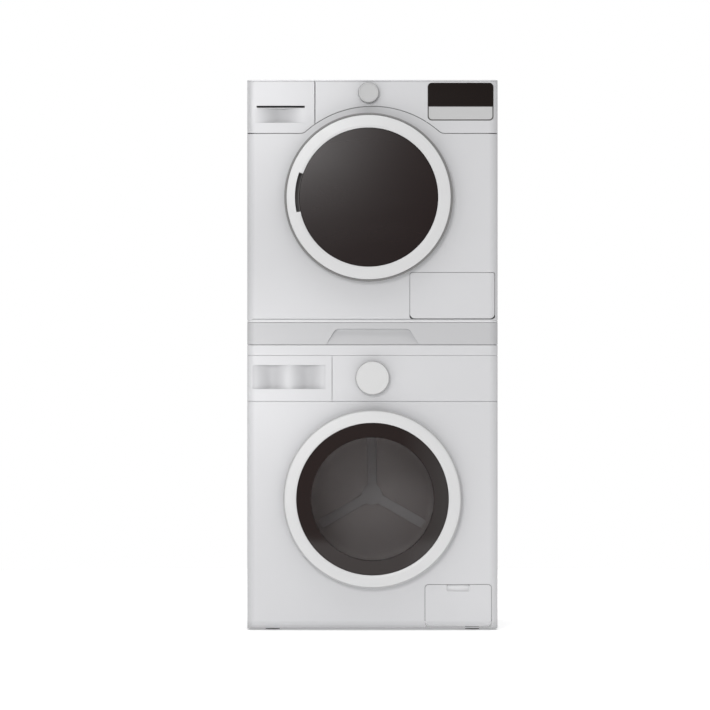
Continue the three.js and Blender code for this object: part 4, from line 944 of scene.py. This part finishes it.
# ---- Stacking kit ----------------------------------------------------------------------------------
def stacking_kit():
    low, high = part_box("stacking_frame")
    # kit strip and frame in a light grey that is partly painted light against the shade under the dryer
    finish(rebate(high.z - 0.001, high.z + 0.0028, 0.0016), "kit_rebate", SHELF_LIGHT, "shelf_grey")
    plate_bottom = high.z - 0.0035
    top = prism(front_plan(0, BACK), plate_bottom, high.z, "z")
    rail = 0.024
    inside, front, rear = SIDE - rail, REAR + 0.001, BACK - rail
    walls = [(-SIDE, front), (-SIDE, BACK), (SIDE, BACK), (SIDE, front)]
    walls += [(inside, front), (inside, rear), (-inside, rear), (-inside, front)]
    joined(top, prism(walls, low.z, plate_bottom + 0.0005, "z"))
    finish(soften(top, 0.0010), "stacking_frame_body", SHELF_LIGHT, "shelf_grey", "stacking_frame")

    low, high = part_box("shelf_front")
    bottom, upper = low.z - 0.0004, high.z + 0.0003
    face = prism(front_plan(0, REAR), bottom, upper, "z")
    inner = SIDE - 0.027
    cut(face, box(-inner, inner, FRONT + 0.022, REAR + PAST, bottom - PAST, upper + PAST))
    grip_top = bottom + 0.0378
    foot, head, corner = 0.117, 0.0885, 0.016  # half widths of the grip and its upper corners' radius
    mouth = [(-foot, bottom - PAST), (-head, grip_top, corner)]
    mouth += [(head, grip_top, corner), (foot, bottom - PAST)]
    lid = grip_top + 0.001
    wedge = [(FRONT - 0.001, bottom - 0.001), (FRONT - 0.001, lid), (FRONT + 0.0105, lid)]
    wedge += [(FRONT + 0.0100, grip_top - 0.006), (FRONT + 0.0070, bottom + 0.020)]
    wedge += [(FRONT + 0.0010, bottom - 0.001)]
    grip = prism(rounded(mouth), FRONT - 0.002, FRONT + 0.02)
    cut(face, common(grip, prism(wedge, -0.2, 0.2, "x")))
    soften(face, 0.0022, 4)
    finish(face, "shelf_front_face", SHELF_GREY, "shelf_grey", "shelf_front", body="shelf")

    low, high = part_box("shelf_tray")
    wall = 0.003
    room = rectangle(low.x + wall, high.x - wall, low.y + wall, high.y - wall, 0.012)
    tray = box(low.x, high.x, low.y, high.y, low.z, high.z)
    cut(tray, prism(room, low.z + wall, high.z + PAST, "z"))
    soften(tray, 0.0008)
    finish(tray, "shelf_tray_pan", SHELF_GREY, "shelf_grey", "shelf_tray", body="shelf")


# ---- Dryer -----------------------------------------------------------------------------------------
dryer_low, dryer_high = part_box("dryer_front_panel")
fascia_low, fascia_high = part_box("dryer_fascia")
dryer_middle = centre_of("dryer_door_ring")
SEAM_HALF = 0.0010  # half the line between the dryer's mouldings
LINE_Z = fascia_low.z - 0.0008
ARCH = 0.242
ARCH_Z = dryer_high.z + 0.0008 - ARCH
CORNER = 0.020


def arch_line(shift):
    """Lower edge of the fascia, right to left: straight, rounded into an arch over the door, straight."""
    corner_z = LINE_Z + CORNER
    corner_x = math.sqrt((ARCH + CORNER) ** 2 - (corner_z - ARCH_Z) ** 2)
    lean = math.degrees(math.atan2(corner_z - ARCH_Z, corner_x))
    far = SIDE + 0.05
    line = [(far, LINE_Z + shift)]
    line += arc(corner_x, corner_z, CORNER - shift, -90, lean - 180, 8)
    line += arc(0, ARCH_Z, ARCH + shift, lean + 1, 179 - lean, 48)
    line += arc(-corner_x, corner_z, CORNER - shift, -lean, -90, 8)
    return line + [(-far, LINE_Z + shift)]


def arch_side(shift, z):
    return arch_line(shift) + [(-SIDE - 0.05, z), (SIDE + 0.05, z)]


def dryer_skin():
    return rolled_skin(0.010, dryer_low.z, fascia_high.z + 0.0007)


def upper_part(x0, x1):
    """Blank of a moulding above the arch, between two places across the front."""
    return common(dryer_skin(), front_cut(arch_side(SEAM_HALF, fascia_high.z + 0.2)), between(x0, x1))


def dryer_front():
    panel = common(dryer_skin(), front_cut(arch_side(-SEAM_HALF, dryer_low.z - 0.05)))
    latch_x = dryer_middle.x - 0.174
    door_openings(panel, dryer_middle, 0.158, "dryer_door_swing", latch_x, dryer_middle.z)
    node = "dryer_service_flap"
    low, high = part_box(node)
    cut(panel, flap_cut(low, high, FLAP_GAP, 0.006))
    finish(soften(panel), "dryer_front_panel_skin", ENAMEL, "enamel", "dryer_front_panel")
    flap = soften(common(dryer_skin(), flap_cut(low, high, FLAP_GROW, 0.011, 0.0055)), 0.0006)
    finish(flap, "service_flap_cover", MOULDING, "moulding", node, body="service_flap_body")
    strip = flap_rebate(low, high, SIDE - 0.0185, 0.014)
    # dark strip: painted shade in the seam round the flap
    finish(strip, "service_flap_rebate", SEAM_SHADE, "enamel")
    # dark strip behind the arch's seam: painted shade
    half = 0.005  # of the strip behind the arch's seam
    band = arch_line(half) + arch_line(-half)[::-1]
    inside = [(max(-SIDE + EDGE, min(SIDE - EDGE, a)), b) for a, b in band]
    finish(prism(inside, *GROOVE), "arch_rebate", SEAM_SHADE, "moulding")


def dryer_controls():
    node = "dryer_display"
    low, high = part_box(node)
    top = fascia_high.z - 0.001
    face = upper_part(fascia_low.x, SIDE + PAST)
    cut(face, bore(0.005, centre_of("dryer_knob"), 32))
    joined(face, box(low.x - 0.004, high.x - 0.011, FRONT + 0.001, FRONT + 0.006, low.z - 0.004, top))
    gap = 0.0003
    window = rectangle(low.x - gap, high.x + gap, low.z - gap, high.z + gap, 0.010)
    cut(face, prism(window, FRONT - PAST, FRONT + 0.0032))
    finish(soften(face), "dryer_fascia_skin", MOULDING, "moulding", "dryer_fascia")

    # dark bezel with a glass window above and a light touch strip below
    split = low.z + 0.0340
    bezel = prism(rectangle(low.x, high.x, low.z, high.z, 0.0098), FRONT + 0.0003, high.y)
    finish(soften(bezel, 0.0005), "display_bezel", BEZEL_GREY, "dark_plastic", node)
    edge, rim = 0.0004, 0.0024
    upper = rectangle(low.x + edge, high.x - edge, split, high.z - edge, 0.0012, 0.0094)
    lower = rectangle(low.x + rim, high.x - rim, low.z + rim, split - 0.0012, 0.0080, 0.001)
    for name, outline, material, slot in (
        ("display_window", upper, DISPLAY_GLASS, "dark_glass"),
        ("display_touch_strip", lower, STRIP_GREY, "shelf_grey"),
    ):
        finish(soften(prism(outline, FRONT - 0.0004, FRONT + 0.0012), 0.0006), name, material, slot)


def container():
    """Front of the water container: a slot with a shaded scoop under it."""
    node, body = "water_container_front", "water_container"
    right = fascia_low.x - SEAM_HALF * 2
    slot_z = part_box(node)[1].z - 0.0595
    x0, x1 = -SIDE + 0.0226, right - 0.0233
    y1, z0, z1 = FRONT + 0.023, slot_z - 0.042, slot_z + 0.016
    face = joined(upper_part(-SIDE - PAST, right), box(x0 - 0.012, x1 + 0.008, FRONT + 0.001, y1, z0, z1))
    z0, z1 = slot_z - 0.0385, slot_z - 0.0040
    cut(face, scoops(x0 - 0.009, x1 + 0.004, z0, z1, 0.0002, 0.0120, 1, 48))
    half = 0.0026
    cut(face, box(x0, x1, FRONT - PAST, FRONT + 0.020, slot_z - half, slot_z + half))
    cut(face, box(x0, x1, FRONT + 0.005, FRONT + 0.020, slot_z - half, slot_z + 0.0120))
    soften(face, 0.0006)
    finish(face, "container_front_skin", CONTAINER_MOULDING, "moulding", node, body=body)
    z0, z1 = slot_z - 0.0025, slot_z + 0.0025
    lining = box(x0 + 0.0002, x1 - 0.0002, FRONT + 0.0006, FRONT + 0.0195, z0, z1)
    z0 = slot_z - 0.0019
    cut(lining, box(x0 + 0.001, x1 - 0.001, FRONT - PAST, FRONT + 0.0180, z0, slot_z + PAST))
    finish(lining, "container_slot_lining", DARK_PLASTIC, "dark_plastic", body=body)


def dryer_door():
    middle, body = dryer_middle, "dryer_door"
    outer = radius_of("dryer_door_ring")
    glass = radius_of("dryer_door_glass")
    seat = outer - 0.005  # where the grey trim meets the white ring
    low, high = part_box("dryer_door_ring")
    ring = door_ring("dryer_door_ring", "dryer_door_glass", seat, 0.003)
    cut(ring, hinge_room("dryer_door_swing", middle.z, 1))
    first, last = 160.3, 192.0  # angles of the grip's ends
    mouth = sector(middle, glass - 0.001, glass + 0.0100, first, last)
    cut(ring, prism(mouth, low.y - PAST, low.y + 0.006))
    pocket = sector(middle, glass - 0.007, glass + 0.0243, first - 0.1, last + 0.1)
    cut(ring, prism(pocket, low.y + 0.0047, high.y + PAST))
    finish(ring, "dryer_ring", DRYER_RING, "door_ring", "dryer_door_ring", body=body, smooth=40)
    trim = lathe([
        (seat + 0.0002, low.y + 0.010),
        (seat + 0.0006, low.y + 0.0022, 0.0004),
        (outer - 0.0003, low.y + 0.0022, 0.0010),
        (outer, low.y + 0.005, 0.001),
        (outer, high.y, 0.004),
        (seat + 0.0002, high.y),
    ], middle, sides=192)
    cut(trim, hinge_room("dryer_door_swing", middle.z, 1))
    finish(trim, "dryer_ring_trim", TRIM_GREY, "dark_plastic", body=body, smooth=40)

    node = "dryer_door_glass"
    pane = crowned_pane(node, middle, 0.0034)
    finish(pane, "dryer_glass_pane", DARK_GLASS, "dark_glass", node, body=body, smooth=40)

    node = "dryer_door_grip"
    low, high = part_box(node)
    shell = sector(middle, glass + 0.0003, glass + 0.0240, first + 0.1, last - 0.1)
    hollow = sector(middle, glass + 0.0020, glass + 0.0222, first + 0.7, last - 0.7)
    cup = prism(shell, low.y, high.y)
    cut(cup, prism(hollow, low.y - PAST, high.y - 0.0020))
    finish(cup, "dryer_grip_cup", GRIP_DARK, "dark_plastic", node, body=body)


def dryer_mouth():
    low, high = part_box("dryer_drum")
    radius = (high.x - low.x) / 2
    mouth = 0.205
    wall = 0.002
    back = high.y - 0.030
    shell = lathe([
        (0, back - wall),
        (radius - wall, back - wall, 0.014),
        (radius - wall, low.y + wall, 0.008),
        (mouth, low.y + wall, 0.001),
        (mouth, low.y, 0.001),
        (radius, low.y, 0.010),
        (radius, back, 0.016),
        (0.010, back),
        (0.010, high.y, 0.001),
        (0, high.y),
    ], dryer_middle, sides=160)
    finish(shell, "dryer_drum_shell", STEEL, "stainless", "dryer_drum", smooth=45, body="dryer_drum_body")
    lifters("dryer", dryer_middle, radius - wall, low.y + 0.024, back - 0.024, (0, 120, 240), 0.050)


# ---- Tops, sides and back --------------------------------------------------------------------------
def cabinet_wrap(bottom, top):
    """Sheet folded round both sides and the back, with rounded rear corners."""
    sheet = 0.0020
    bend = 0.008
    front = REAR + 0.0006
    outline = []
    for inset in (0, sheet):
        side, rear, corner = SIDE - inset, BACK - inset, bend - inset
        edge = rounded([(-side, front), (-side, rear, corner), (side, rear, corner), (side, front)])
        outline += edge if inset == 0 else edge[::-1]
    return prism(outline, bottom, top, "z")


def screw(name, x, z, y=BACK + 0.0035):
    """Pan-head screw with a cross recess, seen from behind."""
    head = lathe([
        (0, y + 0.0030),
        (0.0030, y + 0.0027, 0.002),
        (0.0046, y + 0.0010, 0.001),
        (0.0046, y - 0.0005),
        (0, y - 0.0005),
    ], Vector((x, 0, z)), sides=32)
    for a, b in ((0.0030, 0.0005), (0.0005, 0.0030)):
        cut(head, box(x - a, x + a, y + 0.0012, y + 0.01, z - b, z + b))
    finish(head, name, BRIGHT_STEEL, "stainless")


def rear_cover(machine, x0, x1, z0, z1):
    """Raised rear cover with rounded corners and a screw in each."""
    cover = prism(rectangle(x0, x1, z0, z1, 0.014), BACK + 0.0001, BACK + 0.0035)
    finish(soften(cover, 0.0016), f"{machine}_rear_cover", ENAMEL, "enamel")
    inset = 0.012
    places = [(x, z) for x in (x0 + inset, x1 - inset) for z in (z0 + inset, z1 - inset)]
    for index, (x, z) in enumerate(places):
        screw(f"{machine}_cover_screw_{index}", x, z)


def backs():
    covers = []
    for machine, x0, x1, below, above in (
        ("washer", -0.215, 0.165, 0.14, 0.14),
        ("dryer", -0.240, 0.180, 0.10, 0.09),
    ):
        node = f"{machine}_cabinet"
        low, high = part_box(node)
        wrap = cabinet_wrap(low.z, high.z)
        if machine == "washer":
            cut(wrap, bore(0.0136, centre_of("washer_inlet_valve"), 48, BACK))
        cut(wrap, bore(0.0094, centre_of(f"{machine}_cord_gland"), 48, BACK))
        finish(soften(wrap, 0.0006), f"{machine}_wrap", ENAMEL, "enamel", node)
        covers.append((machine, x0, x1, low.z + below, high.z - above))
    for cover in covers:
        rear_cover(*cover)
    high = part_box("dryer_top")[1]
    top = prism(front_plan(0, BACK), high.z - 0.004, high.z, "z")
    finish(soften(top, 0.0013, 4), "dryer_top_lid", MOULDING, "moulding", "dryer_top")


# ---- Everything that the CAD already shapes well ---------------------------------------------------
def dress_cad_nodes():
    slots = {row["node"]: row["material_slot"] for row in frame["record"]["subparts"]}
    special = {"washer_belt": BELT_RUBBER, "washer_drain_pump": INNER}
    for name, obj in frame["nodes"].items():
        material = special.get(name, SLOT_MATERIALS[slots[name]])
        obj.data.materials.clear()
        obj.data.materials.append(material)


# ---- Stage -----------------------------------------------------------------------------------------
def floor():
    bm = bmesh.new()
    bmesh.ops.create_circle(bm, cap_ends=True, radius=3.2, segments=96)
    obj = from_bmesh(bm, "floor")
    nodes = Nodes("floor_white", 0.8, specular=0.1)
    nodes.shader.inputs["Emission Color"].default_value = (1, 1, 1, 1)
    nodes.shader.inputs["Emission Strength"].default_value = 0.29
    nodes.color(nodes.ramp(nodes.noise(2.0, 3), [(0.3, (0.90, 0.90, 0.90)), (0.7, (0.93, 0.93, 0.93))]))
    obj.data.materials.append(nodes.material)


def area_light(name, place, target, size, power):
    data = bpy.data.lights.new(name, "AREA")
    data.shape = "RECTANGLE"
    data.size, data.size_y = size
    data.energy = power
    obj = bpy.data.objects.new(name, data)
    obj.location = place
    obj.rotation_euler = (Vector(target) - Vector(place)).to_track_quat("-Z", "Y").to_euler()
    obj.visible_camera = False
    scene.collection.objects.link(obj)
    return obj


def world():
    made = bpy.data.worlds.new("studio")
    scene.world = made
    made.use_nodes = True
    tree = made.node_tree
    background = tree.nodes["Background"]
    background.inputs["Color"].default_value = (1, 1, 1, 1)
    background.inputs["Strength"].default_value = 0.43
    seen = tree.nodes.new("ShaderNodeBackground")
    seen.inputs["Color"].default_value = (1, 1, 1, 1)
    seen.inputs["Strength"].default_value = 1.0
    path = tree.nodes.new("ShaderNodeLightPath")
    mix = tree.nodes.new("ShaderNodeMixShader")
    tree.links.new(path.outputs["Is Camera Ray"], mix.inputs["Fac"])
    tree.links.new(background.outputs["Background"], mix.inputs[1])
    tree.links.new(seen.outputs["Background"], mix.inputs[2])
    tree.links.new(mix.outputs["Shader"], tree.nodes["World Output"].inputs["Surface"])


def stage():
    floor()
    world()
    area_light("top", (0, 0.8, 5.0), (0, 0.8, 0), (8.0, 8.0), 285)
    area_light("front", (-0.85, -5.2, 2.0), (0, -0.3, 0.66), (1.1, 1.1), 56)
    for name, z, power in (("dryer_glow", 1.30, 0.12), ("washer_glow", 0.57, 0.10)):
        glow = area_light(name, (-0.50, FRONT - 0.75, z + 0.10), (-0.27, FRONT, z), (0.15, 0.15), power)
        glow.data.spread = math.radians(50)


def camera():
    data = bpy.data.cameras.new("camera")
    distance = 12.0
    across = 1.699  # metres across the picture at the fronts
    data.sensor_width = 36.0
    data.lens = data.sensor_width * distance / across
    data.clip_end = 60.0
    obj = bpy.data.objects.new("camera", data)
    obj.location = (-0.0418, FRONT - distance, 0.659)
    obj.rotation_euler = (math.radians(90), 0, 0)
    scene.collection.objects.link(obj)
    scene.camera = obj


scene.view_settings.view_transform = "Standard"
camera()
dress_cad_nodes()
washer_front()
washer_controls()
washer_door()
washer_mouth()
stacking_kit()
dryer_front()
dryer_controls()
container()
dryer_door()
dryer_mouth()
backs()
stage()
